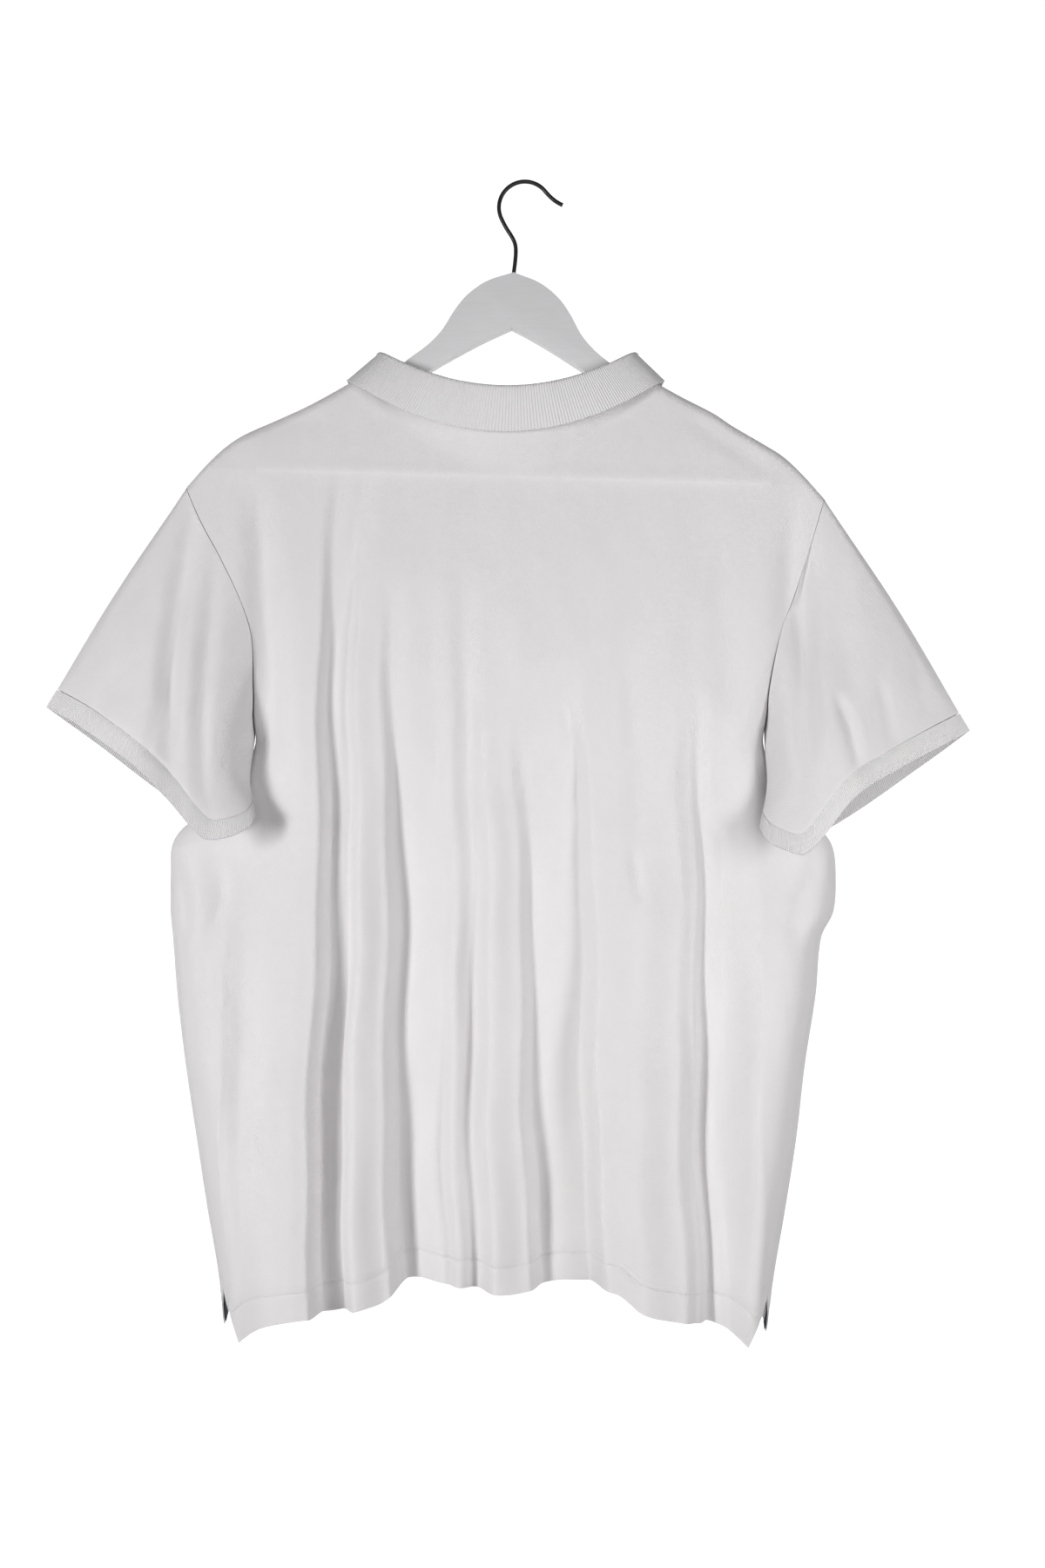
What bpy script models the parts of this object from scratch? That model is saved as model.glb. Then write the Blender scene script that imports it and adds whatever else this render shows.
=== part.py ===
"""A pique polo shirt on a wooden hanger. +Z is up, the back of the shirt faces -Y.

The origin is the inner top of the hook, where it rests on a rail. The tables and functions
work in millimetres, and "drop" is the distance below the rail. A panel point is found from
its face (back or front), its share `across` the panel (-1 at the left edge, 1 at the right)
and its drop. Every piece of cloth is a sheet of such points, thickened to its wall.
"""

import math

import bmesh
import bpy
from mathutils import Vector

MM = 0.001

# Driving sizes of the cloth
WALL = 1.5
RIB_WALL = 1.6
TAPE_WALL = 1.0
SEAM_GAP = 1.5          # between the middles of two walls that meet; their faces stay 0.3 apart
ARMHOLE_GAP, CUFF_GAP = 2.0, 2.2
LAY_GAP = 0.35          # between a panel's face and what lies on it
SEAM_LAP = 2.2          # from a panel's middle to the middle of a sleeve that hangs over it
CENTRE_X = -9.4
CUFF_WIDTH = 17.0
BACK, FRONT = -1, 1
SEAM_ANGLE_UNDERARM, SEAM_ANGLE_HEM = math.radians(84), math.radians(55)   # 90 is the very side
SEAM_TURNED = 620.0
SHOULDER_ROUND = 8.0
NECK_REACH = 42.0
ARMHOLE_TURN = 425.0
UNDERARM = 466.0
PANEL_COLUMNS = 38
PANEL_ROWS = (      # shares of the way from the hem to the top, closer at the underarm and the shoulder's round
    0, 0.025, 0.055, 0.095, 0.15, 0.21, 0.28, 0.35, 0.42, 0.49, 0.55, 0.6, 0.645, 0.675, 0.695, 0.707,
    0.72, 0.74, 0.775, 0.815, 0.855, 0.895, 0.935, 0.97, 0.984, 0.9915, 0.9965, 1,
)

# Half width of the body's outline on each side of the centre, and its depth to the back and front
BODY_COLUMNS = ("drop", "left", "right", "back", "front", "corner")
BODY = (
    (150, 300, 290, 8.5, 9.0, 8),
    (243, 288, 276, 8.5, 11.0, 8),
    (283, 274, 263, 12.0, 14.0, 11),
    (347, 246, 250, 20.0, 22.0, 18),
    (397, 232, 228, 26.0, 28.0, 22),
    (440, 220, 213, 30.0, 32.0, 26),
    (466, 214, 207, 32.0, 34.0, 29),
    (490, 217, 208, 33.0, 36.0, 30),
    (505, 225, 214, 34.0, 37.0, 31),
    (522, 248, 232, 36.0, 39.0, 32),
    (536, 274, 254, 38.0, 41.0, 33),
    (550, 283, 264, 39.5, 42.0, 34),
    (570, 284, 267, 41.0, 43.0, 34),
    (605, 284, 265, 45.0, 46.0, 36),
    (625, 282, 255, 47.0, 47.0, 38),
    (674, 278, 250, 51.0, 49.0, 40),
    (731, 271, 241, 56.0, 52.0, 42),
    (790, 262, 234, 61.0, 55.0, 44),
    (847, 253, 225, 66.0, 58.0, 45),
    (905, 243, 215, 70.0, 61.0, 45),
    (960, 238, 208, 72.0, 63.0, 45),
)

# Distance of the armhole seam from the centre line
ARMHOLE_COLUMNS = ("drop", "run")
ARMHOLE_LEFT = ((253, 271.5), (283, 258), (312, 242), (347, 225), (375, 216), (400, 214), (440, 216))
ARMHOLE_RIGHT = ((262, 257.5), (300, 246), (347, 231), (368, 222), (397, 215), (421, 212), (445, 213))

# The shoulder seam, from the neck to the tip of the armhole
SHOULDER_COLUMNS = ("x", "drop")
SHOULDER_LEFT = ((-281, 253), (-263, 233), (-249, 220), (-234, 210), (-205, 197), (-176, 183.5), (-128, 156.5))
SHOULDER_RIGHT = ((99, 160.5), (128, 177), (157, 192), (172, 202), (201, 219), (215, 228), (230, 242), (248, 262))

# The neck opening
NECK_X = -14.5
NECK_HALF = 113.5
NECK_SAG_BACK = 43.0
NECK_SAG_FRONT = 84.0
NECK_DEPTH_BACK = 20.0
NECK_DEPTH_FRONT = 20.0
NECK_SIDE_DEPTH = 9.5

# Folds across a face, from its left to its right: each row is a crest, brink or valley, with its place
# at the top and at the hem, where it starts, and how far it is pressed in at the hem
FOLD_COLUMNS = ("top_x", "hem_x", "start", "depth")
FOLDS_BACK = (
    (-240, -240, 560, 0), (-224, -226, 560, 6), (-196, -198, 560, 0),
    (-152, -177, 230, 0), (-134, -152, 230, 17), (-124, -118, 330, 23), (-114, -96, 330, 44),
    (-62, -32, 340, 17), (-44, -8, 360, 16), (8, 28, 400, 40), (16, 36, 400, 38), (36, 65, 400, 8),
    (90, 108, 400, 2), (118, 126, 440, 2), (148, 156, 440, 18), (184, 192, 440, 3), (230, 226, 440, 0),
)
FOLDS_FRONT = (
    (-184, -188, 300, 0), (-156, -158, 300, 28), (-124, -128, 300, 4), (-100, -102, 420, 4),
    (-78, -78, 420, 32), (-50, -50, 420, 5), (-20, -18, 420, 0), (30, 32, 400, 2), (58, 62, 400, 32),
    (88, 92, 400, 5), (112, 110, 480, 3), (140, 136, 480, 24), (172, 168, 480, 0),
)
FOLD_FULL = 940.0

# The back's sides are pushed in where a sleeve hangs against them
TUCK_X, TUCK_DROP, TUCK_WIDTH, TUCK_HEIGHT, TUCK_DEPTH = 236.0, 520.0, 52.0, 78.0, 16.0

# Drop of the hem across each panel
HEM_COLUMNS = ("across", "drop")
HEM_BACK = (
    (-1, 948), (-0.84, 932), (-0.71, 926), (-0.59, 925), (-0.49, 920), (-0.42, 916), (-0.33, 903),
    (-0.2, 905), (0, 910), (0.2, 903), (0.36, 905), (0.46, 921), (0.6, 930), (0.8, 938), (1, 955),
)
HEM_FRONT = ((-1, 945), (-0.8, 932), (-0.4, 918), (0, 912), (0.4, 920), (0.8, 938), (1, 952))
VENT_LEFT, VENT_RIGHT = 909.0, 916.0
VENT_FLARE_BACK, VENT_FLARE_FRONT = 0.5, 0.7

# A cuff's open edge, from its outer tip round the back to the underarm, then round the front
CUFF_COLUMNS = ("share", "x", "y", "drop")
CUFF_LEFT = (
    (0, -391, -16, 437), (0.08, -362, -30, 452), (0.2, -314, -52, 484), (0.3, -286, -64, 510),
    (0.4, -256, -70, 542), (0.44, -238, -69, 542), (0.48, -222, -62, 535), (0.51, -217, -52, 526),
    (0.56, -224, -42, 529), (0.62, -241, -37, 536), (0.72, -285, -28, 514), (0.88, -350, -14, 467),
    (1, -391, -16, 437),
)
CUFF_RIGHT = (
    (0, 366, -16, 456), (0.08, 338, -32, 469), (0.2, 296, -52, 490), (0.3, 263, -64, 510),
    (0.4, 224, -72, 554), (0.44, 207, -70, 552), (0.48, 193, -63, 544), (0.51, 189, -52, 535),
    (0.56, 197, -42, 538), (0.62, 217, -37, 547), (0.72, 258, -28, 530), (0.88, 328, -14, 484),
    (1, 366, -16, 456),
)
SLEEVE_SWELL = 9.0

# The collar: its roll line and the free edge of its fall
ROLL_HALF, ROLL_SIDE, ROLL_BACK, ROLL_FRONT = 106.0, 141.0, 173.0, 214.0
ROLL_RADIUS = 2.6
FALL_X, FALL_HALF, FALL_SIDE, FALL_BACK = -16.0, 132.0, 164.5, 211.5
COLLAR_POINT = (44.0, 26.0, 286.0)
COLLAR_END = 0.965
COLLAR_LAP, COLLAR_LAP_FRONT = 2.4, 4.2     # from a panel's middle to the middle of the fall on it

# The hanger
TILT = math.radians(1.9)
SOCKET_DROP = 75.4
WOOD_THICK = 12.0
WOOD_COLUMNS = ("run", "top", "bottom")
WOOD = (
    (0, 0, 46), (22, 8, 57), (38, 20, 66), (48, 33, 72), (58, 50, 78), (70, 63, 86), (84, 74, 97),
    (97, 86, 106), (112, 96, 116), (138, 105.5, 131), (152, 112, 137), (181, 128.5, 148), (205, 142, 154),
    (205.01, 141.7, 168), (219, 150, 169), (223, 158, 166),
)
BAR_RADIUS, BAR_RUN, BAR_DROP = 5.0, 204.7, 161.5
WIRE_RADIUS = 1.75
HOOK_RADIUS = 21.75


def row_value(table, columns, name, at):
    """Value of a named column at a place along the first column, on a smooth curve."""
    index = columns.index(name)
    last = len(table) - 1
    if at <= table[0][0]:
        return table[0][index]
    if at >= table[last][0]:
        return table[last][index]
    row = max(i for i in range(last) if table[i][0] <= at)
    x0, x1 = table[row][0], table[row + 1][0]
    y0, y1 = table[row][index], table[row + 1][index]
    slope = (y1 - y0) / (x1 - x0)
    before, after = table[max(row - 1, 0)], table[min(row + 2, last)]
    start = (y1 - before[index]) / (x1 - before[0])
    end = (after[index] - y0) / (after[0] - x0)
    t = (at - x0) / (x1 - x0)
    bend = (start - slope) * t * (1 - t) ** 2 + (slope - end) * t * t * (1 - t)
    return y0 + slope * (x1 - x0) * t + bend * (x1 - x0)


def ease(low, high, at):
    """0 below `low`, 1 above `high`, smooth between."""
    t = min(max((at - low) / (high - low), 0.0), 1.0)
    return t * t * (3 - 2 * t)


def mix(a, b, share):
    return a + (b - a) * share


def body(name, drop):
    return row_value(BODY, BODY_COLUMNS, name, drop)


def neck_edge(face, share):
    """The neck seam: `share` runs -1 to 1 from the left neck point to the right one."""
    sag = NECK_SAG_BACK if face == BACK else NECK_SAG_FRONT
    depth = NECK_DEPTH_BACK if face == BACK else NECK_DEPTH_FRONT
    inner = max(1 - share * share, 0.0)
    ends = mix(SHOULDER_LEFT[-1][1], SHOULDER_RIGHT[0][1], (share + 1) / 2)
    y = (NECK_SIDE_DEPTH + (depth - NECK_SIDE_DEPTH) * inner) * (1 - share ** 30)
    return NECK_X + NECK_HALF * share, face * y, ends + sag * inner ** (1 if face == BACK else 1.35)


def top_edge(face, x):
    """The panel's upper edge above x: the shoulder seams and the neck seam between them."""
    share = (x - NECK_X) / NECK_HALF
    if abs(share) < 1:
        return neck_edge(face, share)
    if share < 0:
        return x, 0.0, row_value(SHOULDER_LEFT, SHOULDER_COLUMNS, "drop", x)
    return x, 0.0, row_value(SHOULDER_RIGHT, SHOULDER_COLUMNS, "drop", x)


def edge_run(face, left, drop):
    """Cloth from the centre line to the panel's side edge: its armhole, side seam, then vent."""
    half, corner = body("left" if left else "right", drop), body("corner", drop)
    depth = body("back" if face == BACK else "front", drop)
    angle = mix(SEAM_ANGLE_UNDERARM, SEAM_ANGLE_HEM, ease(UNDERARM, SEAM_TURNED, drop))
    angle = angle if face == BACK else math.pi - angle
    seam = half - corner + angle * (corner + depth) / 2 - SEAM_GAP / 2
    armhole = row_value(ARMHOLE_LEFT if left else ARMHOLE_RIGHT, ARMHOLE_COLUMNS, "run", drop)
    turned = min(max((drop - ARMHOLE_TURN) / (UNDERARM - ARMHOLE_TURN), 0.0), 1.0) ** 2.2
    run = mix(armhole, seam, turned)
    flare = VENT_FLARE_BACK if face == BACK else VENT_FLARE_FRONT
    return run - flare * max(drop - (VENT_LEFT if left else VENT_RIGHT), 0.0)


def column_run(face, across, drop):
    """Cloth from the centre line to a column: only the outer ones follow the armhole's curve."""
    left, share = across < 0, abs(across)
    tip = tip_drop(left)
    edge = edge_run(face, left, drop)
    level = min(max((drop - tip) / (SEAM_TURNED - tip), 0.0), 1.0)
    plain = mix(edge_run(face, left, tip), edge_run(face, left, SEAM_TURNED), level)
    plain = edge if drop > SEAM_TURNED else plain
    return share * plain + share ** 3 * (edge - plain)


def fold_depth(face, x, drop):
    """How far the folds press this spot of the face inwards."""
    folds = []
    for top_x, hem_x, start, depth in FOLDS_BACK if face == BACK else FOLDS_FRONT:
        grown = min(max((drop - start) / (FOLD_FULL - start), 0.0), 1.05)
        folds.append((mix(top_x, hem_x, min(drop / FOLD_FULL, 1.05)), depth * grown ** 1.05))
    total = 0.0
    for (x0, depth0), (x1, depth1) in zip(folds, folds[1:]):
        if x0 <= x < x1:
            total = mix(depth0, depth1, ease(x0, x1, x))
    if face == BACK:
        across = (abs(x - CENTRE_X) - TUCK_X) / TUCK_WIDTH
        along = (drop - TUCK_DROP) / TUCK_HEIGHT
        total += TUCK_DEPTH * math.exp(-across * across - along * along)
    return total


def face_depth(face, x, drop):
    """Depth of the wall's middle on a face, folds included."""
    return body("back" if face == BACK else "front", drop) - fold_depth(face, x, drop)


def body_point(face, across, drop, out=0.0):
    """A point of the back or front panel, moved `out` from its wall's middle."""
    left = across < 0
    half, corner = body("left" if left else "right", drop), body("corner", drop)
    depth = body("back" if face == BACK else "front", drop)
    run = column_run(face, across, drop)
    past = max(run - (half - corner), 0.0) / ((corner + depth) / 2)
    reach = min(run, half - corner) + (corner + out) * math.sin(past)
    x = CENTRE_X + (-reach if left else reach)
    facing = math.cos(past)
    seen_face = face if facing >= 0 else -face
    y = (face_depth(seen_face, x, drop) + out) * facing
    return x, face * y, drop


def shoulder_rounding(face, x, drop, lift=0.0):
    """How far the panel has turned down at this drop: 0 at its upper edge, 1 on its flat face."""
    edge_drop = top_edge(face, x)[2] - lift
    neck = max(1 - ((x - NECK_X) / NECK_HALF) ** 2, 0.0)
    below = min((drop - edge_drop) / (mix(SHOULDER_ROUND, NECK_REACH, neck) + lift), 1.0)
    if below <= 0:
        return 0.0
    arched = math.sqrt(1 - (1 - below) ** 2)
    return mix(arched, ease(0, 1, below), min(neck * 4, 1.0))


def surface_y(face, x, drop, gap):
    """Depth at which something clears the panel by `gap` at this place."""
    edge_y = top_edge(face, x)[1]
    rounded = shoulder_rounding(face, x, drop, gap)
    if rounded == 0:
        return 0.0
    neck = min(max(1 - ((x - NECK_X) / NECK_HALF) ** 2, 0.0) * 4, 1.0)
    return abs(mix(edge_y, face * face_depth(face, x, drop), rounded)) + gap * max(rounded, neck)


def panel_point(face, across, share):
    """A point of the panel: `share` runs 0 to 1 from the hem to the shoulder or neck seam."""
    left = across < 0
    tip = tip_drop(left)
    top_x = CENTRE_X + across * edge_run(face, left, tip)
    _, edge_y, edge_drop = top_edge(face, top_x)
    hem = row_value(HEM_BACK if face == BACK else HEM_FRONT, HEM_COLUMNS, "drop", across)
    drop = mix(hem, edge_drop, share)
    x, y, _ = body_point(face, across, max(drop, tip))
    if drop < tip:
        y = face * face_depth(face, x, drop)
    rounded = shoulder_rounding(face, x, drop)
    return x, mix(edge_y + face * SEAM_GAP / 2, y, rounded), drop


def laid(face, column, row, out):
    """A point on the panel's own facets, moved `out` of its wall, at a column and row of its grid."""
    c0, r0 = min(int(column), PANEL_COLUMNS - 1), min(int(row), len(PANEL_ROWS) - 2)
    corners = []
    for r in (r0, r0 + 1):
        ends = [panel_point(face, -1 + 2 * c / PANEL_COLUMNS, PANEL_ROWS[r]) for c in (c0, c0 + 1)]
        corners.append([mix(a, b, column - c0) for a, b in zip(*ends)])
    x, y, drop = (mix(a, b, row - r0) for a, b in zip(*corners))
    return x, y + face * out, drop


def off_panel(face, column, row, out):
    """A point of the panel's facets moved `out` of its wall along the body's cross-section."""
    x, y, drop = laid(face, column, row, 0.0)
    across = -1 + 2 * column / PANEL_COLUMNS
    moved, plain = (body_point(face, across, drop, amount) for amount in (out, 0.0))
    return x + moved[0] - plain[0], y + moved[1] - plain[1], drop


def off_facet(face, column, row, out):
    """A point of the panel's facets moved `out` of its wall along the facet's own normal."""
    here = Vector(laid(face, column, row, 0.0))
    along = Vector(laid(face, column + 0.02, row, 0.0)) - here
    upward = Vector(laid(face, column, row + 0.02, 0.0)) - here
    normal = along.cross(upward).normalized()
    if normal.dot(Vector(off_panel(face, column, row, 1.0)) - here) < 0:
        normal.negate()
    return tuple(here + normal * out)


def grid_steps(first, last):
    """The ends of a stretch of a panel's grid, with each of its lines between them."""
    between = [i for i in range(math.ceil(first), math.floor(last) + 1) if first < i < last]
    return [first, *between, last]


def row_at(face, column, drop):
    """The grid row, with its fraction, where a panel's column passes a drop."""
    drops = [panel_point(face, -1 + 2 * column / PANEL_COLUMNS, share)[2] for share in PANEL_ROWS]
    low = max(i for i in range(len(drops) - 1) if drops[i] >= drop)
    return low + (drops[low] - drop) / (drops[low] - drops[low + 1])


def sheet(name, rows, wall, material, closed=False):
    """A sheet through rows of points, thickened evenly to its wall. `closed` joins each row's ends."""
    mesh = bpy.data.meshes.new(name)
    bm = bmesh.new()
    grid = [[bm.verts.new((x * MM, y * MM, -drop * MM)) for x, y, drop in row] for row in rows]
    for low, high in zip(grid, grid[1:]):
        around = len(low) if closed else len(low) - 1
        for i in range(around):
            j = (i + 1) % len(low)
            bm.faces.new((low[i], low[j], high[j], high[i]))
    bm.normal_update()
    bm.to_mesh(mesh)
    bm.free()
    mesh.shade_smooth()
    cloth = bpy.data.objects.new(name, mesh)
    bpy.context.scene.collection.objects.link(cloth)
    mesh.materials.append(material)
    thicken = cloth.modifiers.new("wall", "SOLIDIFY")
    thicken.thickness = wall * MM
    thicken.offset = 0.0
    thicken.use_rim = True
    return cloth


def finish(name, colour, roughness, metallic=0.0):
    """A material of one colour."""
    material = bpy.data.materials.new(name)
    material.use_nodes = True
    shader = material.node_tree.nodes["Principled BSDF"]
    shader.inputs["Base Color"].default_value = (*colour, 1.0)
    shader.inputs["Roughness"].default_value = roughness
    shader.inputs["Metallic"].default_value = metallic
    return material


def make_panel(name, face, material):
    """The back or the front, in one piece from hem to shoulders."""
    across = [-1 + 2 * i / PANEL_COLUMNS for i in range(PANEL_COLUMNS + 1)]
    if face == FRONT:
        across.reverse()
    sheet(name, [[panel_point(face, q, s) for q in across] for s in PANEL_ROWS], WALL, material)


def armhole_ring(left):
    """The armhole seam from the shoulder tip down the back to the underarm, and up the front.

    Each point comes with its turn, 0 to 1 round the ring. The points lie on the panels' own edges.
    """
    ring = []
    column = 0 if left else PANEL_COLUMNS
    top_row = len(PANEL_ROWS) - 1
    for face in (BACK, FRONT):
        lowest, *rows = grid_steps(row_at(face, column, UNDERARM), top_row)
        rows = [lowest] + [r for r in rows if laid(face, column, r, 0.0)[2] < UNDERARM - 5]
        lap_from, lap_full = (340, 420) if face == BACK else (400, 445)
        drops = [laid(face, column, r, 0.0)[2] for r in rows]
        line = [off_panel(face, column, r, SEAM_LAP * ease(lap_from, lap_full, d)) for r, d in zip(rows, drops)]
        line = [(x, y if drop > tip_drop(left) + 1 else 0.0, drop) for x, y, drop in line]
        if face == BACK:
            line.reverse()
        lengths = [math.dist(a, b) for a, b in zip(line, line[1:])]
        turns = [sum(lengths[:i]) / sum(lengths) / 2 + (0.5 if face == FRONT else 0) for i in range(len(line))]
        ring += list(zip(line, turns))[:-1]
    return ring


def tip_drop(left):
    """Drop of the shoulder seam's outer end."""
    return SHOULDER_LEFT[0][1] if left else SHOULDER_RIGHT[-1][1]


def sleeve_rings(left, rings=8):
    """Rings from the armhole to the cuff's seam, and rings of the cuff past its seam."""
    table = CUFF_LEFT if left else CUFF_RIGHT
    side = -1 if left else 1
    lines = []
    for start, turn in armhole_ring(left):
        end = tuple(row_value(table, CUFF_COLUMNS, c, turn) for c in ("x", "y", "drop"))
        length = math.dist(start, end)
        cuff_seam = 1 - CUFF_WIDTH / length
        first, last = ARMHOLE_GAP / length, cuff_seam - CUFF_GAP / length
        shares = [mix(first, last, i / rings) for i in range(rings + 1)]
        shares += [mix(cuff_seam, 1, i / 2) for i in range(3)]
        lines.append([sleeve_point(start, end, share, turn, side) for share in shares])
    all_rings = [list(ring) for ring in zip(*lines)]
    return all_rings[:rings + 1], all_rings[rings + 1:]


def sleeve_point(start, end, share, turn, side):
    """Between the armhole and the cuff's edge, swelling out between them."""
    swell = SLEEVE_SWELL * math.sin(math.pi * share) * math.sin(math.pi * share) ** 0.5
    back = math.sin(math.pi * min(turn, 0.5) / 0.5)
    front = math.sin(math.pi * max(turn - 0.5, 0) / 0.5)
    x, y, drop = (mix(a, b, share) for a, b in zip(start, end))
    return x + side * swell * (0.4 + front), y - swell * back, drop


def make_sleeves(cloth, rib):
    for name, left in (("left", True), ("right", False)):
        sleeve, cuff = sleeve_rings(left)
        if not left:
            sleeve.reverse()
            cuff.reverse()
        sheet(f"sleeve_{name}", sleeve, WALL, cloth, closed=True)
        sheet(f"cuff_{name}", cuff, RIB_WALL, rib, closed=True)


def roll_line(turn):
    """The line that the collar folds on, at `turn` round the neck."""
    face = BACK if abs(turn) <= 0.5 else FRONT
    share = math.sin(math.pi * turn)
    inner = 1 - share * share
    sag = (ROLL_BACK if face == BACK else ROLL_FRONT) - ROLL_SIDE
    y = (8.5 + (12.5 if face == BACK else 9.5) * inner) * (1 - abs(share) ** 30)
    return Vector((NECK_X + ROLL_HALF * share, face * y, ROLL_SIDE + sag * inner))


def collar_section(turn):
    """Across the collar at `turn` (-1 to 1 from one front end round the back to the other)."""
    face = BACK if abs(turn) <= 0.5 else FRONT
    share = math.sin(math.pi * turn)
    inner = 1 - share * share
    seam = Vector(laid(face, neck_column(share), len(PANEL_ROWS) - 1, 0.0))
    along = Vector(neck_edge(face, min(share + 0.01, 1))) - Vector(neck_edge(face, max(share - 0.01, -1)))
    seam += Vector((along.z, 0, -along.x)).normalized() * (SEAM_GAP + 0.5)
    roll = roll_line(turn)
    fall_y = (13 + (15 if face == BACK else 10) * inner) * (1 - abs(share) ** 30)
    fall = Vector((FALL_X + FALL_HALF * share, face * fall_y, FALL_SIDE + (FALL_BACK - FALL_SIDE) * inner))
    if face == FRONT:
        forward = (abs(turn) - 0.5) / (COLLAR_END - 0.5)
        spread, point_y, point_drop = COLLAR_POINT
        side = 1 if turn > 0 else -1
        start_x = abs(FALL_X + FALL_HALF * side - CENTRE_X)
        fall.x = CENTRE_X + side * mix(start_x, spread, forward ** 1.3)
        fall.y = mix(fall_y, point_y, forward)
        fall.z = mix(FALL_SIDE, point_drop, forward ** 1.25)
    heading = roll_line(turn + 0.01) - roll_line(turn - 0.01)
    out = Vector((heading.y, -heading.x, 0)).normalized()
    inner_roll = roll - out * ROLL_RADIUS + Vector((0, 0, ROLL_RADIUS))
    outer_roll = roll + out * ROLL_RADIUS + Vector((0, 0, ROLL_RADIUS))
    stand = [seam.lerp(inner_roll, i / 2) for i in range(3)]
    over = [roll - out * ROLL_RADIUS * 0.5 + Vector((0, 0, 0.5)), roll + out * ROLL_RADIUS * 0.5 + Vector((0, 0, 0.5))]
    down = [outer_roll.lerp(fall, i / 5) for i in range(6)]
    for p in down[1:]:
        height = min((p.z - roll.z) / (seam.z - roll.z), 1.0)
        off_stand = mix(abs(stand[2].y), abs(seam.y), height) + COLLAR_LAP * height
        off_panel_y = surface_y(face, p.x, p.z, COLLAR_LAP if face == BACK else COLLAR_LAP_FRONT)
        p.y = face * max(abs(p.y), off_stand * min(12 * inner, 1.0), off_panel_y)
    return [tuple(p) for p in stand + over + down]


def neck_column(share):
    """The panels' grid column below a point of the neck seam."""
    return PANEL_COLUMNS * (0.5 + (NECK_X + NECK_HALF * share - CENTRE_X) / panel_width(share))


def panel_width(share):
    """Cloth across a panel at the shoulders, were both sides as wide as the one asked for."""
    left = NECK_X + NECK_HALF * share < CENTRE_X
    return 2 * edge_run(BACK, left, tip_drop(left))


def make_collar(rib):
    """One strip round the neck, with a section at each column of the panels it is sewn to."""
    first, last = neck_column(-1), neck_column(1)
    shares = {-1, -0.995, -0.975, -0.94, 0.94, 0.975, 0.995, 1}
    for column in range(math.ceil(first), math.floor(last) + 1):
        width = panel_width((column - PANEL_COLUMNS / 2) * 0.01)
        x = CENTRE_X + (column / PANEL_COLUMNS - 0.5) * width
        shares.add((x - NECK_X) / NECK_HALF)
    angles = {share: math.asin(share) / math.pi for share in shares if abs(share) < 0.93 or abs(share) > 0.939}
    turns = {*angles.values()} | {(-1 if a < 0 else 1) - a for a in angles.values()}
    turns = {t for t in turns if abs(t) < COLLAR_END - 0.01} | {-COLLAR_END, COLLAR_END}
    sheet("collar", [collar_section(t) for t in sorted(turns)], RIB_WALL, rib)


def make_tapes(navy):
    """Dark tape inside the back neck seam and on the inner faces of the side vents."""
    inward = -(WALL / 2 + LAY_GAP + TAPE_WALL / 2)
    top_row = len(PANEL_ROWS) - 1
    columns = grid_steps(neck_column(-0.8), neck_column(0.8))
    rows = [[laid(BACK, c, r, inward - 0.3) for c in columns] for r in (top_row - 2, top_row - 1, top_row - 0.4)]
    sheet("neck_tape", rows, TAPE_WALL, navy)
    vents = (
        ("left_back", BACK, 0.1, 0.95, VENT_LEFT, 0.4),
        ("left_front", FRONT, 0.1, 0.95, VENT_LEFT, 1.0),
        ("right_back", BACK, 37.05, 37.9, VENT_RIGHT, 0.4),
        ("right_front", FRONT, 37.05, 37.9, VENT_RIGHT, 0.4),
    )
    for name, face, first, last, apex, twist in vents:
        lines = grid_steps(0.08, row_at(face, first, apex + 1))
        rows = [[off_facet(face, c, r, inward - twist) for c in grid_steps(first, last)] for r in lines]
        sheet(f"vent_tape_{name}", rows, TAPE_WALL, navy)


def make_placket(cloth, button_finish):
    """Two strips down the centre front and the buttons that close them."""
    middle, foot = PANEL_COLUMNS / 2, 405.0
    columns = grid_steps(middle - 1.2, middle + 1.2)
    lines = grid_steps(row_at(FRONT, middle, foot), len(PANEL_ROWS) - 1.8)
    lay = WALL + LAY_GAP + 0.15
    for name, out in (("placket_upper", lay), ("placket_under", -lay)):
        sheet(name, [[laid(FRONT, c, r, out) for c in reversed(columns)] for r in lines], WALL, cloth)
    for number, drop in enumerate((276, 322, 368), start=1):
        thick, radius = 2.4, 5.5
        row = row_at(FRONT, middle, drop)
        _, y, _ = laid(FRONT, middle, row, lay)
        _, y_above, drop_above = laid(FRONT, middle, row + 0.1, lay)
        lean = math.atan2(y - y_above, drop - drop_above)
        bpy.ops.mesh.primitive_cylinder_add(vertices=24, radius=radius * MM, depth=thick * MM)
        button = bpy.context.object
        button.name = f"button_{number}"
        away = y + (WALL / 2 + LAY_GAP + thick / 2) / math.cos(lean) + 0.15
        button.location = (CENTRE_X * MM, away * MM, -drop * MM)
        button.rotation_euler = (lean - math.pi / 2, 0, 0)
        button.data.materials.append(button_finish)
        button.data.shade_smooth()
        button.data.set_sharp_from_angle(angle=math.radians(40))


def hanger_place(thing):
    """Hangs a hanger piece from the hook's socket, tilted as the hanger is."""
    thing.location = (CENTRE_X * MM, 0, -SOCKET_DROP * MM)
    thing.rotation_euler = (0, TILT, 0)


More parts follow.
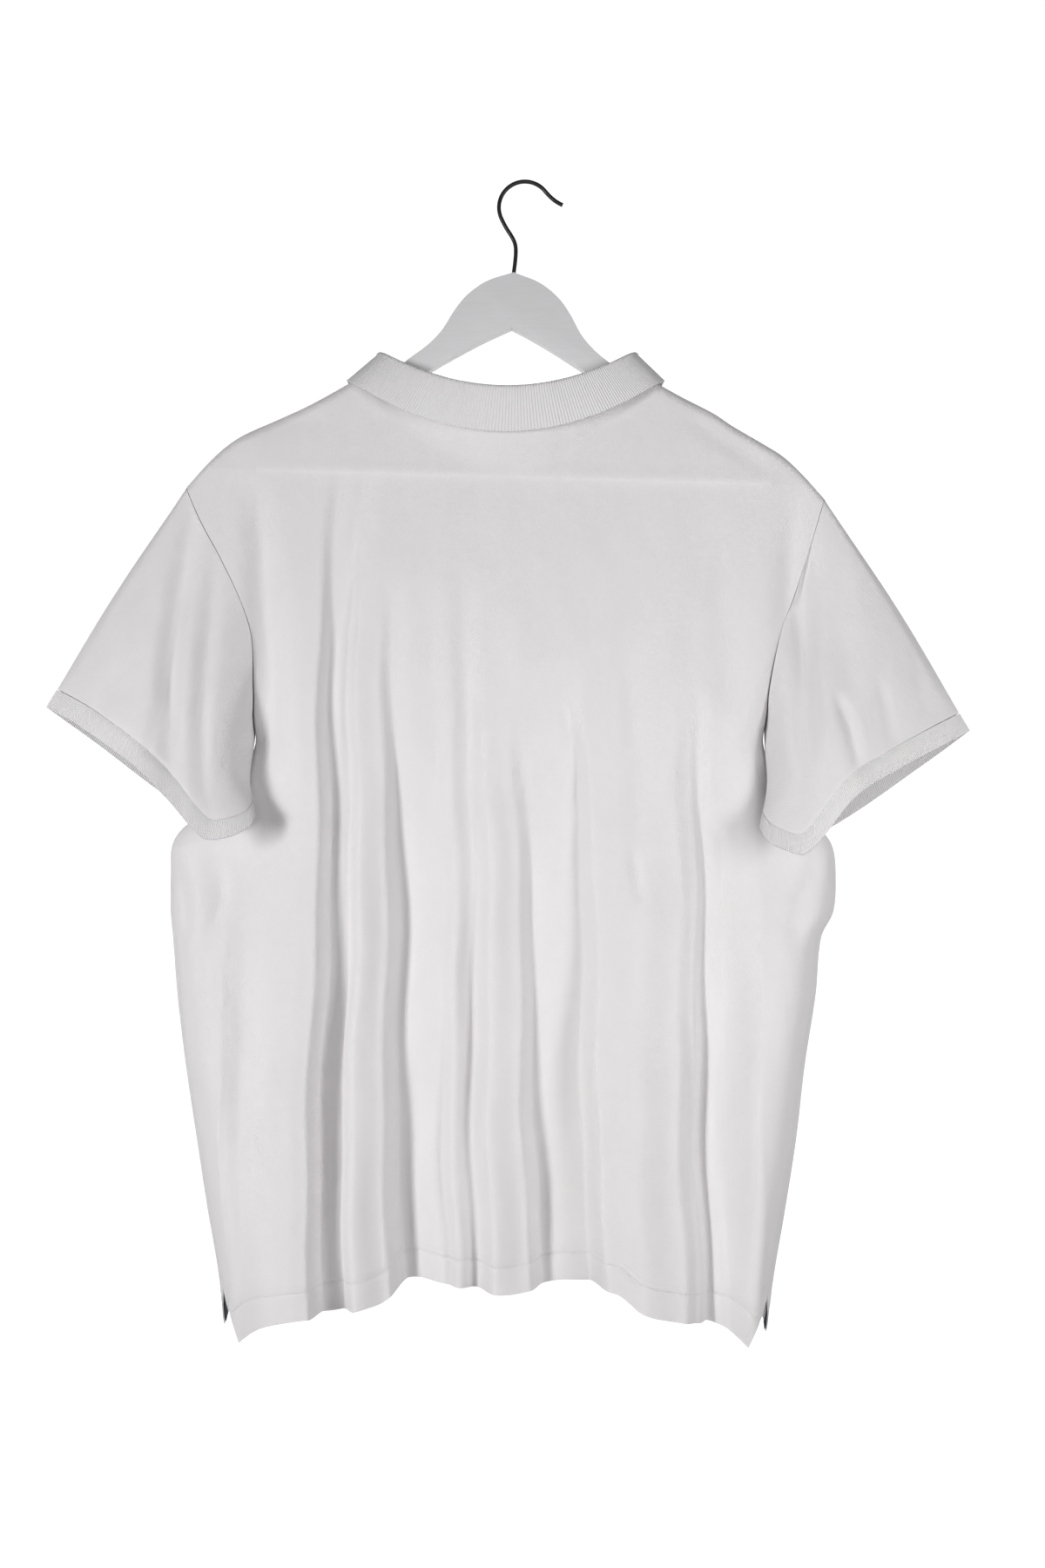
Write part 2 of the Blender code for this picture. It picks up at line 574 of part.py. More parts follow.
def make_hanger(wood):
    """The flat wooden body with rounded edges, and the round bar between its ends."""
    outline = [(run, -top) for run, top, _ in WOOD] + [(run, -bottom) for run, _, bottom in reversed(WOOD)]
    mirrored = [(-run, z) for run, z in reversed(outline) if run > 0]
    mesh = bpy.data.meshes.new("hanger_wood")
    bm = bmesh.new()
    loop = [p for p in outline if p != (0, -WOOD[0][2])] + [(0, -WOOD[0][2])] + mirrored
    face = bm.faces.new([bm.verts.new((x * MM, -WOOD_THICK / 2 * MM, z * MM)) for x, z in loop])
    grown = bmesh.ops.extrude_face_region(bm, geom=[face])["geom"]
    moved = [v for v in grown if isinstance(v, bmesh.types.BMVert)]
    bmesh.ops.translate(bm, vec=(0, WOOD_THICK * MM, 0), verts=moved)
    bmesh.ops.recalc_face_normals(bm, faces=bm.faces)
    bm.to_mesh(mesh)
    bm.free()
    body_wood = bpy.data.objects.new("hanger_wood", mesh)
    bpy.context.scene.collection.objects.link(body_wood)
    mesh.materials.append(wood)
    hanger_place(body_wood)
    edges = body_wood.modifiers.new("rounded edges", "BEVEL")
    edges.width = 3.5 * MM
    edges.segments = 2
    edges.limit_method = "ANGLE"
    edges.angle_limit = math.radians(60)

    bpy.ops.mesh.primitive_cylinder_add(vertices=20, radius=BAR_RADIUS * MM, depth=2 * BAR_RUN * MM)
    bar = bpy.context.object
    bar.name = "hanger_bar"
    bar.data.transform(bar.rotation_euler.to_matrix().to_4x4())
    for vertex in bar.data.vertices:
        x, y, z = vertex.co
        vertex.co = (z, y, -x - BAR_DROP * MM)
    bar.data.materials.append(wood)
    bar.data.shade_smooth()
    bar.data.set_sharp_from_angle(angle=math.radians(40))
    hanger_place(bar)


def hook_route():
    """The wire from its socket up round the rail to its turned-out tip."""
    centre = Vector((0.0, -(HOOK_RADIUS - WIRE_RADIUS)))
    stem = [(-9.4, -SOCKET_DROP + 0.4), (-8.2, -67), (-7.4, -58), (-7.6, -51), (-10.4, -44.6), (-15.4, -37.6)]
    arc = []
    for i in range(16):
        angle = math.radians(mix(212, 32, i / 15))
        arc.append((centre.x + HOOK_RADIUS * math.cos(angle), centre.y + HOOK_RADIUS * math.sin(angle)))
    return stem + arc + [(22.6, -12.6), (27, -16), (31.4, -18)]


def make_hook(steel):
    curve = bpy.data.curves.new("hanger_hook", "CURVE")
    curve.dimensions = "3D"
    curve.bevel_depth = WIRE_RADIUS * MM
    curve.bevel_resolution = 2
    curve.use_fill_caps = True
    spline = curve.splines.new("POLY")
    route = hook_route()
    spline.points.add(len(route) - 1)
    for point, (x, z) in zip(spline.points, route):
        point.co = (x * MM, 0, z * MM, 1)
    hook = bpy.data.objects.new("hanger_hook", curve)
    bpy.context.scene.collection.objects.link(hook)
    curve.materials.append(steel)


def main():
    for old in list(bpy.data.objects):
        bpy.data.objects.remove(old, do_unlink=True)
    cloth = finish("white pique", (0.80, 0.79, 0.79), 0.9)
    rib = finish("white rib knit", (0.81, 0.80, 0.80), 0.9)
    navy = finish("navy tape", (0.02, 0.025, 0.05), 0.85)
    shell = finish("white button", (0.85, 0.84, 0.82), 0.35)
    wood = finish("white painted wood", (0.78, 0.78, 0.79), 0.45)
    steel = finish("black wire", (0.02, 0.02, 0.02), 0.35, 0.8)
    make_panel("back_panel", BACK, cloth)
    make_panel("front_panel", FRONT, cloth)
    make_sleeves(cloth, rib)
    make_collar(rib)
    make_tapes(navy)
    make_placket(cloth, shell)
    make_hanger(wood)
    make_hook(steel)


main()
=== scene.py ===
"""A pique polo shirt on a wooden hanger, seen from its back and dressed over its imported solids.

The shirt's pieces are placed in millimetres, with "drop" the distance below the rail, and turned
to metres as they are made. "Across" runs -1 to 1 over a panel, from its left edge to its right.
"""

import math

import bmesh
import bpy
from mathutils import Matrix, Vector


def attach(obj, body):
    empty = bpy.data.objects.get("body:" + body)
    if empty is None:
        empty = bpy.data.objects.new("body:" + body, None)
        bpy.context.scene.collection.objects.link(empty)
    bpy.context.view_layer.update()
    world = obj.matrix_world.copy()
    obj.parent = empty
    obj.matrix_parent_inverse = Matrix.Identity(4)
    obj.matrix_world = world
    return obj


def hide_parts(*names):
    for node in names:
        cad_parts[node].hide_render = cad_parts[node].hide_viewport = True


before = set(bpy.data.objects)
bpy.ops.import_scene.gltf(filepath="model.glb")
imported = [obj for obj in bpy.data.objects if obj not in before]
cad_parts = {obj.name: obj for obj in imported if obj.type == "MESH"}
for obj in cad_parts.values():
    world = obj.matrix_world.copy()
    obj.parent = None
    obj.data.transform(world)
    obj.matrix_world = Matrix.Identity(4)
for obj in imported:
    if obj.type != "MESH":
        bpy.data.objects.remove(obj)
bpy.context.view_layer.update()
scene = bpy.context.scene
MM = 0.001


# ---- The studio: a glowing white paper sweep behind, a grey floor, two side lights and a front fill.
# The garment hangs high over the floor, and the camera looks level at its back.
FLOOR_DROP = 1900.0
SWEEP_BACK = 2600.0
SWEEP_BEND = 900.0
SWEEP_FRONT, SWEEP_SIDE, SWEEP_TOP = -4.0, 6.0, 3.0     # metres
BEND_STEPS = 12

sweep_bm = bmesh.new()
run_line = [sweep_bm.verts.new((-SWEEP_SIDE, SWEEP_FRONT, -FLOOR_DROP * MM))]
for step in range(BEND_STEPS + 1):
    angle = math.radians(90 * step / BEND_STEPS)
    run_line.append(sweep_bm.verts.new((
        -SWEEP_SIDE, (SWEEP_BACK - SWEEP_BEND + SWEEP_BEND * math.sin(angle)) * MM,
        (-FLOOR_DROP + SWEEP_BEND * (1 - math.cos(angle))) * MM)))
run_line.append(sweep_bm.verts.new((-SWEEP_SIDE, SWEEP_BACK * MM, SWEEP_TOP)))
edge_line = [sweep_bm.edges.new(pair) for pair in zip(run_line, run_line[1:])]
swept = bmesh.ops.extrude_edge_only(sweep_bm, edges=edge_line)["geom"]
far_side = [v for v in swept if isinstance(v, bmesh.types.BMVert)]
bmesh.ops.translate(sweep_bm, vec=(2 * SWEEP_SIDE, 0, 0), verts=far_side)
bmesh.ops.recalc_face_normals(sweep_bm, faces=sweep_bm.faces)
sweep_mesh = bpy.data.meshes.new("studio_sweep")
sweep_bm.to_mesh(sweep_mesh)
sweep_bm.free()
sweep_mesh.shade_smooth()
studio_sweep = bpy.data.objects.new("studio_sweep", sweep_mesh)
scene.collection.objects.link(studio_sweep)
paper = bpy.data.materials.new("white paper")
paper.use_nodes = True
paper_shader = paper.node_tree.nodes["Principled BSDF"]
paper_shader.inputs["Base Color"].default_value = (0.92, 0.92, 0.92, 1)
paper_shader.inputs["Roughness"].default_value = 1.0
paper_shader.inputs["Emission Color"].default_value = (1, 1, 1, 1)
paper_shader.inputs["Emission Strength"].default_value = 0.95
grey_floor = bpy.data.materials.new("grey floor")
grey_floor.use_nodes = True
grey_floor.node_tree.nodes["Principled BSDF"].inputs["Base Color"].default_value = (0.5, 0.5, 0.5, 1)
sweep_mesh.materials.append(paper)
sweep_mesh.materials.append(grey_floor)
FLOOR_BELOW, FLOOR_BEFORE = -1.85, 1.0                  # metres
for face in sweep_mesh.polygons:
    on_floor = face.center.z < FLOOR_BELOW and face.center.y < FLOOR_BEFORE
    face.material_index = 1 if on_floor else 0

world = bpy.data.worlds.new("studio")
scene.world = world
world.use_nodes = True
world.node_tree.nodes["Background"].inputs["Color"].default_value = (1.0, 1.0, 1.0, 1)
world.node_tree.nodes["Background"].inputs["Strength"].default_value = 0.12


def soft_light(name, place, target, size, watts, beam):
    """A rectangular soft light at `place`, turned to `target`, its beam in degrees."""
    lamp = bpy.data.lights.new(name, "AREA")
    lamp.shape = "RECTANGLE"
    lamp.size, lamp.size_y = size
    lamp.energy = watts
    lamp.spread = math.radians(beam)
    light = bpy.data.objects.new(name, lamp)
    scene.collection.objects.link(light)
    light.location = place
    light.rotation_euler = (Vector(target) - Vector(place)).to_track_quat("-Z", "Y").to_euler()


soft_light("left_light", (-1.5, -1.45, -0.56), (0.25, 0, -0.64), (0.36, 0.8), 7.2, 90)
soft_light("right_light", (1.1, -1.05, -0.56), (0.15, 0, -0.6), (0.35, 0.8), 4.1, 120)
soft_light("front_fill", (0.3, -2.3, -0.8), (0, 0, -0.6), (1.6, 1.6), 11.8, 180)

CAMERA_LENS, CAMERA_PLACE = 41.4, (-0.002, -1.5, -0.4995)
camera = bpy.data.cameras.new("camera")
camera.lens = CAMERA_LENS
camera.clip_start = 0.02
camera_place = bpy.data.objects.new("camera", camera)
scene.collection.objects.link(camera_place)
camera_place.location = CAMERA_PLACE
camera_place.rotation_euler = (math.radians(90), 0, 0)
scene.camera = camera_place
scene.view_settings.view_transform = "Standard"


# ---- The hanger's body: one flat board, sawn to its shape, rounded at its edges and painted white.
# Its long arms carry the shoulders inside the shirt, and only the dome shows at the neck.
CENTRE_X = -9.4
TILT = math.radians(1.9)
SOCKET_DROP = 75.4
WOOD_THICK = 12.0
WOOD_ROUND = 3.4
# Upper and lower edge below the dome's top, along an arm from the centre; the lower one steps at the bar
WOOD_COLUMNS = ("run", "top", "bottom")
WOOD = (
    (0, 0, 46), (22, 8, 57), (38, 20, 66), (48, 33, 72), (58, 50, 78), (70, 63, 86), (84, 74, 97),
    (97, 86, 106), (112, 96, 116), (138, 105.5, 131), (152, 112, 137), (181, 128.5, 148), (205, 142, 154),
    (205.01, 141.7, 168), (219, 150, 169), (223, 158, 166),
)


def row_value(table, columns, name, at):
    """Value of a named column at a place along the first column, on a smooth curve."""
    index = columns.index(name)
    last = len(table) - 1
    if at <= table[0][0]:
        return table[0][index]
    if at >= table[last][0]:
        return table[last][index]
    row = max(i for i in range(last) if table[i][0] <= at)
    x0, x1 = table[row][0], table[row + 1][0]
    y0, y1 = table[row][index], table[row + 1][index]
    slope = (y1 - y0) / (x1 - x0)
    before, after = table[max(row - 1, 0)], table[min(row + 2, last)]
    start = (y1 - before[index]) / (x1 - before[0])
    end = (after[index] - y0) / (after[0] - x0)
    t = (at - x0) / (x1 - x0)
    bend = (start - slope) * t * (1 - t) ** 2 + (slope - end) * t * t * (1 - t)
    return y0 + slope * (x1 - x0) * t + bend * (x1 - x0)


ARM_LENGTH, ARM_STEPS = 224.0, 90
STEP_FROM, STEP_TO = 203.5, 207.0
STEP_RUNS = [204.5, 205.0, 205.02, 223.0]               # the step's two corners and the arm's tip
wood_runs = [ARM_LENGTH * i / ARM_STEPS for i in range(ARM_STEPS)]
wood_runs = [run for run in wood_runs if not STEP_FROM < run < STEP_TO] + STEP_RUNS
wood_runs.sort()
wood_top = [(run, -row_value(WOOD, WOOD_COLUMNS, "top", run)) for run in wood_runs]
wood_bottom = [(run, -row_value(WOOD, WOOD_COLUMNS, "bottom", run)) for run in reversed(wood_runs)]
wood_half = wood_top + wood_bottom
wood_loop = wood_half + [(-run, z) for run, z in reversed(wood_half) if run > 0]
wood_bm = bmesh.new()
wood_rim = [wood_bm.verts.new((x * MM, -WOOD_THICK / 2 * MM, z * MM)) for x, z in wood_loop]
wood_face = wood_bm.faces.new(wood_rim)
grown = bmesh.ops.extrude_face_region(wood_bm, geom=[wood_face])["geom"]
other_face = [v for v in grown if isinstance(v, bmesh.types.BMVert)]
bmesh.ops.translate(wood_bm, vec=(0, WOOD_THICK * MM, 0), verts=other_face)
bmesh.ops.recalc_face_normals(wood_bm, faces=wood_bm.faces)
rims = [e for e in wood_bm.edges if abs(e.verts[0].co.y - e.verts[1].co.y) < 1e-6]
bmesh.ops.bevel(wood_bm, geom=rims, offset=WOOD_ROUND * MM, segments=5, profile=0.5, affect="EDGES",
                material=-1, clamp_overlap=True)
bmesh.ops.rotate(wood_bm, cent=(0, 0, 0), verts=wood_bm.verts, matrix=Matrix.Rotation(TILT, 3, "Y"))
bmesh.ops.translate(wood_bm, vec=(CENTRE_X * MM, 0, -SOCKET_DROP * MM), verts=wood_bm.verts)
wood_mesh = bpy.data.meshes.new("hanger_body")
wood_bm.to_mesh(wood_mesh)
wood_bm.free()
wood_mesh.shade_smooth()
wood_mesh.set_sharp_from_angle(angle=math.radians(50))
hanger_body = bpy.data.objects.new("hanger_body", wood_mesh)
scene.collection.objects.link(hanger_body)

white_paint_in_painted_shade = bpy.data.materials.new("white satin paint on wood")
white_paint_in_painted_shade.use_nodes = True
paint = white_paint_in_painted_shade.node_tree
paint_shader = paint.nodes["Principled BSDF"]
paint_shader.inputs["Roughness"].default_value = 0.42
paint_shader.inputs["Coat Weight"].default_value = 0.15
grain_place = paint.nodes.new("ShaderNodeTexCoord")
grain_stretch = paint.nodes.new("ShaderNodeMapping")
grain_stretch.inputs["Scale"].default_value = (12, 60, 160)
grain = paint.nodes.new("ShaderNodeTexNoise")
grain.inputs["Scale"].default_value = 3.0
grain.inputs["Detail"].default_value = 6.0
# The paint's tone runs between two light greys, darker than white paint: painted shade for the hanger. The
# spread between the two greys is the grain
grain_and_painted_shade_tone = paint.nodes.new("ShaderNodeValToRGB")
grain_and_painted_shade_tone.color_ramp.elements[0].color = (0.60, 0.60, 0.61, 1)
grain_and_painted_shade_tone.color_ramp.elements[1].color = (0.68, 0.68, 0.69, 1)
grain_bump = paint.nodes.new("ShaderNodeBump")
grain_bump.inputs["Strength"].default_value = 0.25
grain_bump.inputs["Distance"].default_value = 0.0003
paint.links.new(grain_place.outputs["Object"], grain_stretch.inputs["Vector"])
paint.links.new(grain_stretch.outputs["Vector"], grain.inputs["Vector"])
paint.links.new(grain.outputs["Fac"], grain_and_painted_shade_tone.inputs["Fac"])
paint.links.new(grain_and_painted_shade_tone.outputs["Color"], paint_shader.inputs["Base Color"])
paint.links.new(grain.outputs["Fac"], grain_bump.inputs["Height"])
paint.links.new(grain_bump.outputs["Normal"], paint_shader.inputs["Normal"])
wood_mesh.materials.append(white_paint_in_painted_shade)
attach(hanger_body, "root")
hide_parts("hanger_wood")


# ---- The trouser bar: a turned wooden dowel, glued between the arms' ends and painted with them.
# It lies inside the shirt, against the back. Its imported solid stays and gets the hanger's paint.
frame_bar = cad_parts["hanger_bar"]
frame_bar.data.materials.clear()
frame_bar.data.materials.append(white_paint_in_painted_shade)


# ---- The hook: one black-coated steel wire, bent round the rail and turned out at its tip.
# Its stem is pressed into a hole in the hanger's dome.
WIRE_RADIUS, HOOK_RADIUS = 1.75, 21.75
HOOK_FROM, HOOK_TO, HOOK_POINTS = 212.0, 32.0, 16       # degrees round the rail


def mix(a, b, share):
    """From a, at a share of 0, to b, at 1."""
    return a + (b - a) * share


def hook_route():
    """The wire from its socket up round the rail to its turned-out tip."""
    centre = Vector((0.0, -(HOOK_RADIUS - WIRE_RADIUS)))
    socket = (CENTRE_X, -SOCKET_DROP + 0.4)
    stem = [socket, (-8.2, -67), (-7.4, -58), (-7.6, -51), (-10.4, -44.6), (-15.4, -37.6)]
    arc = []
    for i in range(HOOK_POINTS):
        angle = math.radians(mix(HOOK_FROM, HOOK_TO, i / (HOOK_POINTS - 1)))
        arc.append((centre.x + HOOK_RADIUS * math.cos(angle), centre.y + HOOK_RADIUS * math.sin(angle)))
    return stem + arc + [(22.6, -12.6), (27, -16), (31.4, -18)]


wire = bpy.data.curves.new("wire_line", "CURVE")
wire.dimensions = "3D"
wire.bevel_depth = WIRE_RADIUS * MM
wire.bevel_resolution = 5
wire.use_fill_caps = True
wire.resolution_u = 6
wire_spline = wire.splines.new("NURBS")
wire_route = hook_route()
wire_spline.points.add(len(wire_route) - 1)
for point, (x, z) in zip(wire_spline.points, wire_route):
    point.co = (x * MM, 0, z * MM, 1)
wire_spline.order_u = 4
wire_spline.use_endpoint_u = True
wire_draft = bpy.data.objects.new("wire_draft", wire)
scene.collection.objects.link(wire_draft)
bpy.context.view_layer.update()
hook_mesh = bpy.data.meshes.new_from_object(wire_draft.evaluated_get(bpy.context.evaluated_depsgraph_get()))
bpy.data.objects.remove(wire_draft, do_unlink=True)
hook_mesh.name = "hook"
hook_mesh.shade_smooth()
hook = bpy.data.objects.new("hook", hook_mesh)
scene.collection.objects.link(hook)


def clouded(name, roughness, grain, dark, light):
    """A finish whose tone drifts between two colours; also gives its shader, for what else it needs."""
    material = bpy.data.materials.new(name)
    material.use_nodes = True
    tree = material.node_tree
    shader = tree.nodes["Principled BSDF"]
    shader.inputs["Roughness"].default_value = roughness
    place = tree.nodes.new("ShaderNodeTexCoord")
    cloud = tree.nodes.new("ShaderNodeTexNoise")
    cloud.inputs["Scale"].default_value = grain
    tone = tree.nodes.new("ShaderNodeValToRGB")
    tone.color_ramp.elements[0].color = (*dark, 1)
    tone.color_ramp.elements[1].color = (*light, 1)
    tree.links.new(place.outputs["Object"], cloud.inputs["Vector"])
    tree.links.new(cloud.outputs["Fac"], tone.inputs["Fac"])
    tree.links.new(tone.outputs["Color"], shader.inputs["Base Color"])
    return material, shader


black_wire, wire_shader = clouded("black wire", 0.36, 220, (0.012, 0.012, 0.013), (0.05, 0.05, 0.052))
wire_shader.inputs["Metallic"].default_value = 0.6
hook_mesh.materials.clear()
hook_mesh.materials.append(black_wire)
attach(hook, "root")
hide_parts("hanger_hook")


# ---- The back: one piece of white pique, wider than the hanger, so that it drops in deep folds.
# It is cut straight with an armhole at each side, and left open for the vents above the hem.
BACK, FRONT = -1, 1
CLOTH_WALL = 1.1
SEAM_GAP = 0.3
SEAM_ANGLE_UNDERARM, SEAM_ANGLE_HEM = math.radians(84), math.radians(55)   # 90 is the very side
SEAM_TURNED = 620.0                 # below this drop the side seam is as far round as at the hem
SHOULDER_ROUND, NECK_REACH = 8.0, 42.0      # how far below its seam the cloth turns down from it
ARMHOLE_TURN, UNDERARM = 425.0, 466.0       # between these drops the armhole sweeps out to the underarm
ARMHOLE_CURVE = 2.2

# Half width of the body's outline on each side of the centre, its depth to the back and front, and how
# round its corners are
BODY_COLUMNS = ("drop", "left", "right", "back", "front", "corner")
BODY = (
    (150, 300, 290, 8.5, 9.0, 8),
    (243, 288, 276, 8.5, 11.0, 8),
    (283, 274, 263, 12.0, 14.0, 11),
    (347, 246, 250, 20.0, 22.0, 18),
    (397, 232, 228, 26.0, 28.0, 22),
    (440, 220, 213, 30.0, 32.0, 26),
    (466, 214, 207, 32.0, 34.0, 29),
    (490, 226, 217, 33.0, 36.0, 30),
    (505, 238, 227, 34.0, 37.0, 31),
    (522, 254, 240, 36.0, 39.0, 32),
    (536, 274, 254, 38.0, 41.0, 33),
    (550, 283, 264, 39.5, 42.0, 34),
    (570, 284, 267, 41.0, 43.0, 34),
    (605, 284, 265, 45.0, 46.0, 36),
    (625, 282, 255, 47.0, 47.0, 38),
    (674, 278, 250, 51.0, 49.0, 40),
    (731, 271, 241, 56.0, 52.0, 42),
    (790, 262, 234, 61.0, 55.0, 44),
    (847, 253, 225, 66.0, 58.0, 45),
    (905, 243, 215, 70.0, 61.0, 45),
    (960, 238, 208, 72.0, 63.0, 45),
)

# Distance of the armhole seam from the centre line
ARMHOLE_COLUMNS = ("drop", "run")
ARMHOLE_LEFT = ((253, 271.5), (283, 258), (312, 242), (347, 225), (375, 216), (400, 214), (440, 216))
ARMHOLE_RIGHT = ((262, 257.5), (300, 246), (347, 231), (368, 222), (397, 215), (421, 212), (445, 213))

# The shoulder seam, from the neck to the tip of the armhole
SHOULDER_COLUMNS = ("x", "drop")
SHOULDER_LEFT = (
    (-281, 253), (-263, 233), (-249, 220), (-234, 210), (-205, 197), (-176, 183.5), (-128, 156.5),
)
SHOULDER_RIGHT = (
    (99, 160.5), (128, 177), (157, 192), (172, 202), (201, 219), (215, 228), (230, 242), (248, 262),
)

# The neck opening: its middle, half its width, how far it dips, and how far it stands off the hanger
NECK_X, NECK_HALF = -14.5, 113.5
NECK_SAG_BACK, NECK_SAG_FRONT, NECK_SAG_CURVE = 43.0, 84.0, 1.35
NECK_DEPTH, NECK_SIDE_DEPTH = 20.0, 9.5
NECK_CLOSING = 30                   # the higher, the nearer to the neck points the two faces meet


def named_rows(columns, table):
    """Each row of a table with its values under their columns' names."""
    return [dict(zip(columns, row)) for row in table]


# Folds across a face, from its left to its right: each row is a crest, brink or valley, with its place
# at the top and at the hem, where it starts, and how far it is pressed in at the hem
FOLD_COLUMNS = ("top_x", "hem_x", "start", "depth")
FOLDS_BACK = named_rows(FOLD_COLUMNS, (
    (-244, -240, 560, 2), (-228, -226, 560, 8), (-200, -200, 560, 0), (-180, -190, 400, 0),
    (-164, -175, 230, 2), (-154, -165, 230, 31), (-140, -150, 260, 31), (-132, -139, 330, 9),
    (-122, -112, 330, 19), (-113, -99, 330, 45), (-84, -64, 330, 34), (-66, -54, 340, 24),
    (-50, -40, 320, 35), (-36, -24, 330, 14), (-30, 4, 360, 22), (-16, 16, 400, 42), (26, 52, 400, 38),
    (38, 67, 400, 3), (84, 92, 400, 5), (116, 126, 420, 15), (130, 139, 420, 25), (138, 147, 420, 40),
    (150, 160, 440, 34), (188, 194, 440, 3), (230, 226, 440, 0),
))
FOLD_FULL, FOLD_GROWTH = 940.0, 1.8
# Each fold swells and thins by a share of its depth, and wavers sideways in a long and a short wave
SWELLING, SWELL_DROP, SWELL_X = 0.09, 43.0, 17.0
LONG_WAVER, LONG_DROP, LONG_START = 2.2, 58.0, 0.8
SHORT_WAVER, SHORT_DROP, SHORT_X = 1.1, 23.0, 31.0

# The back's sides are pushed in where a sleeve hangs against them
TUCK_X, TUCK_DROP, TUCK_WIDTH, TUCK_HEIGHT, TUCK_DEPTH = 236.0, 520.0, 52.0, 78.0, 16.0

# Drop of the hem across each panel
HEM_COLUMNS = ("across", "drop")
HEM_BACK = (
    (-1, 948), (-0.84, 932), (-0.71, 926), (-0.59, 925), (-0.49, 920), (-0.42, 916), (-0.33, 903),
    (-0.2, 905), (0, 910), (0.2, 903), (0.36, 905), (0.46, 921), (0.6, 930), (0.8, 938), (1, 955),
)
VENT_LEFT, VENT_RIGHT = 909.0, 916.0
VENT_FLARE_BACK, VENT_FLARE_FRONT = 0.5, 0.7

# Soft creases of the back, from head to foot: how deep (a ridge is below 0), how wide, and how bowed
CREASE_COLUMNS = ("head_x", "head", "foot_x", "foot", "bow", "depth", "width")
CREASES_BACK = named_rows(CREASE_COLUMNS, (
    (-130, 226, -158, 430, 2, 3.5, 10),
    (-230, 235, -214, 530, 12, 10.0, 13),
    (-99, 300, -92, 520, 3, -1.6, 10),
    (27, 427, 34, 529, 14, 2.5, 5),
    (85, 550, 92, 601, 1, 2.0, 5),
    (150, 514, 150, 630, 7, 2.5, 6),
    (-292, 548, -276, 632, 4, 4.0, 7),
    (-252, 565, -267, 637, 9, 3.0, 7),
    (121, 188, 215, 253, 2, 2.0, 8),
    (224, 235, 196, 570, 8, 11.0, 14),
    (244, 552, 214, 640, -5, 3.5, 9),
    (92, 350, 96, 612, -4, 2.2, 10),
    (158, 270, 165, 470, 4, 2.4, 12),
    (122, 300, 116, 560, 3, -1.6, 12),
    (-216, 238, 0, 246, 2, -1.0, 4),
    (0, 246, 205, 250, 2, -1.0, 4),
    (-232, 212, -150, 196, 3, 1.4, 8),
))
CREASE_FADE = 0.3                   # share of a crease's length over which each end fades out


def ease(low, high, at):
    """0 below `low`, 1 above `high`, smooth between."""
    t = min(max((at - low) / (high - low), 0.0), 1.0)
    return t * t * (3 - 2 * t)


def body(name, drop):
    """A measure of the body at a drop, from its own column."""
    return row_value(BODY, BODY_COLUMNS, name, drop)


def hem_drop(face, across):
    """Drop of a panel's hem at a place across it."""
    return row_value(HEM_BACK if face == BACK else HEM_FRONT, HEM_COLUMNS, "drop", across)


def tip_drop(left):
    """Drop of the shoulder seam's outer end."""
    return SHOULDER_LEFT[0][1] if left else SHOULDER_RIGHT[-1][1]


def crease_depth(creases, x, drop):
    """How far the soft creases press this spot in: each fades out towards its two ends."""
    total = 0.0
    for crease in creases:
        from_x, from_z = x - crease["head_x"], drop - crease["head"]
        run_x, run_z = crease["foot_x"] - crease["head_x"], crease["foot"] - crease["head"]
        length = math.hypot(run_x, run_z)
        along = (from_x * run_x + from_z * run_z) / length ** 2
        if not 0 < along < 1:
            continue
        bowed = crease["bow"] * 4 * along * (1 - along)
        off = (from_x * run_z - from_z * run_x) / length - bowed
        if abs(off) < 3 * crease["width"]:
            faded = ease(0, CREASE_FADE, along) * ease(0, CREASE_FADE, 1 - along)
            total += crease["depth"] * math.exp(-(off / crease["width"]) ** 2) * faded
    return total


def neck_edge(face, share):
    """The neck seam: `share` runs -1 to 1 from the left neck point to the right one."""
    inner = max(1 - share * share, 0.0)
    sag = NECK_SAG_BACK * inner if face == BACK else NECK_SAG_FRONT * inner ** NECK_SAG_CURVE
    ends = mix(SHOULDER_LEFT[-1][1], SHOULDER_RIGHT[0][1], (share + 1) / 2)
    y = (NECK_SIDE_DEPTH + (NECK_DEPTH - NECK_SIDE_DEPTH) * inner) * (1 - share ** NECK_CLOSING)
    return NECK_X + NECK_HALF * share, face * y, ends + sag


def top_edge(face, x):
    """The panel's upper edge above x: the shoulder seams and the neck seam between them."""
    share = (x - NECK_X) / NECK_HALF
    if abs(share) < 1:
        return neck_edge(face, share)
    if share < 0:
        return x, 0.0, row_value(SHOULDER_LEFT, SHOULDER_COLUMNS, "drop", x)
    return x, 0.0, row_value(SHOULDER_RIGHT, SHOULDER_COLUMNS, "drop", x)


def edge_run(face, left, drop):
    """Cloth from the centre line to the panel's side edge: its armhole, side seam, then vent."""
    half, corner = body("left" if left else "right", drop), body("corner", drop)
    depth = body("back" if face == BACK else "front", drop)
    angle = mix(SEAM_ANGLE_UNDERARM, SEAM_ANGLE_HEM, ease(UNDERARM, SEAM_TURNED, drop))
    angle = angle if face == BACK else math.pi - angle
    seam = half - corner + angle * (corner + depth) / 2 - SEAM_GAP / 2
    armhole = row_value(ARMHOLE_LEFT if left else ARMHOLE_RIGHT, ARMHOLE_COLUMNS, "run", drop)
    turned = min(max((drop - ARMHOLE_TURN) / (UNDERARM - ARMHOLE_TURN), 0.0), 1.0) ** ARMHOLE_CURVE
    run = mix(armhole, seam, turned)
    flare = VENT_FLARE_BACK if face == BACK else VENT_FLARE_FRONT
    return run - flare * max(drop - (VENT_LEFT if left else VENT_RIGHT), 0.0)


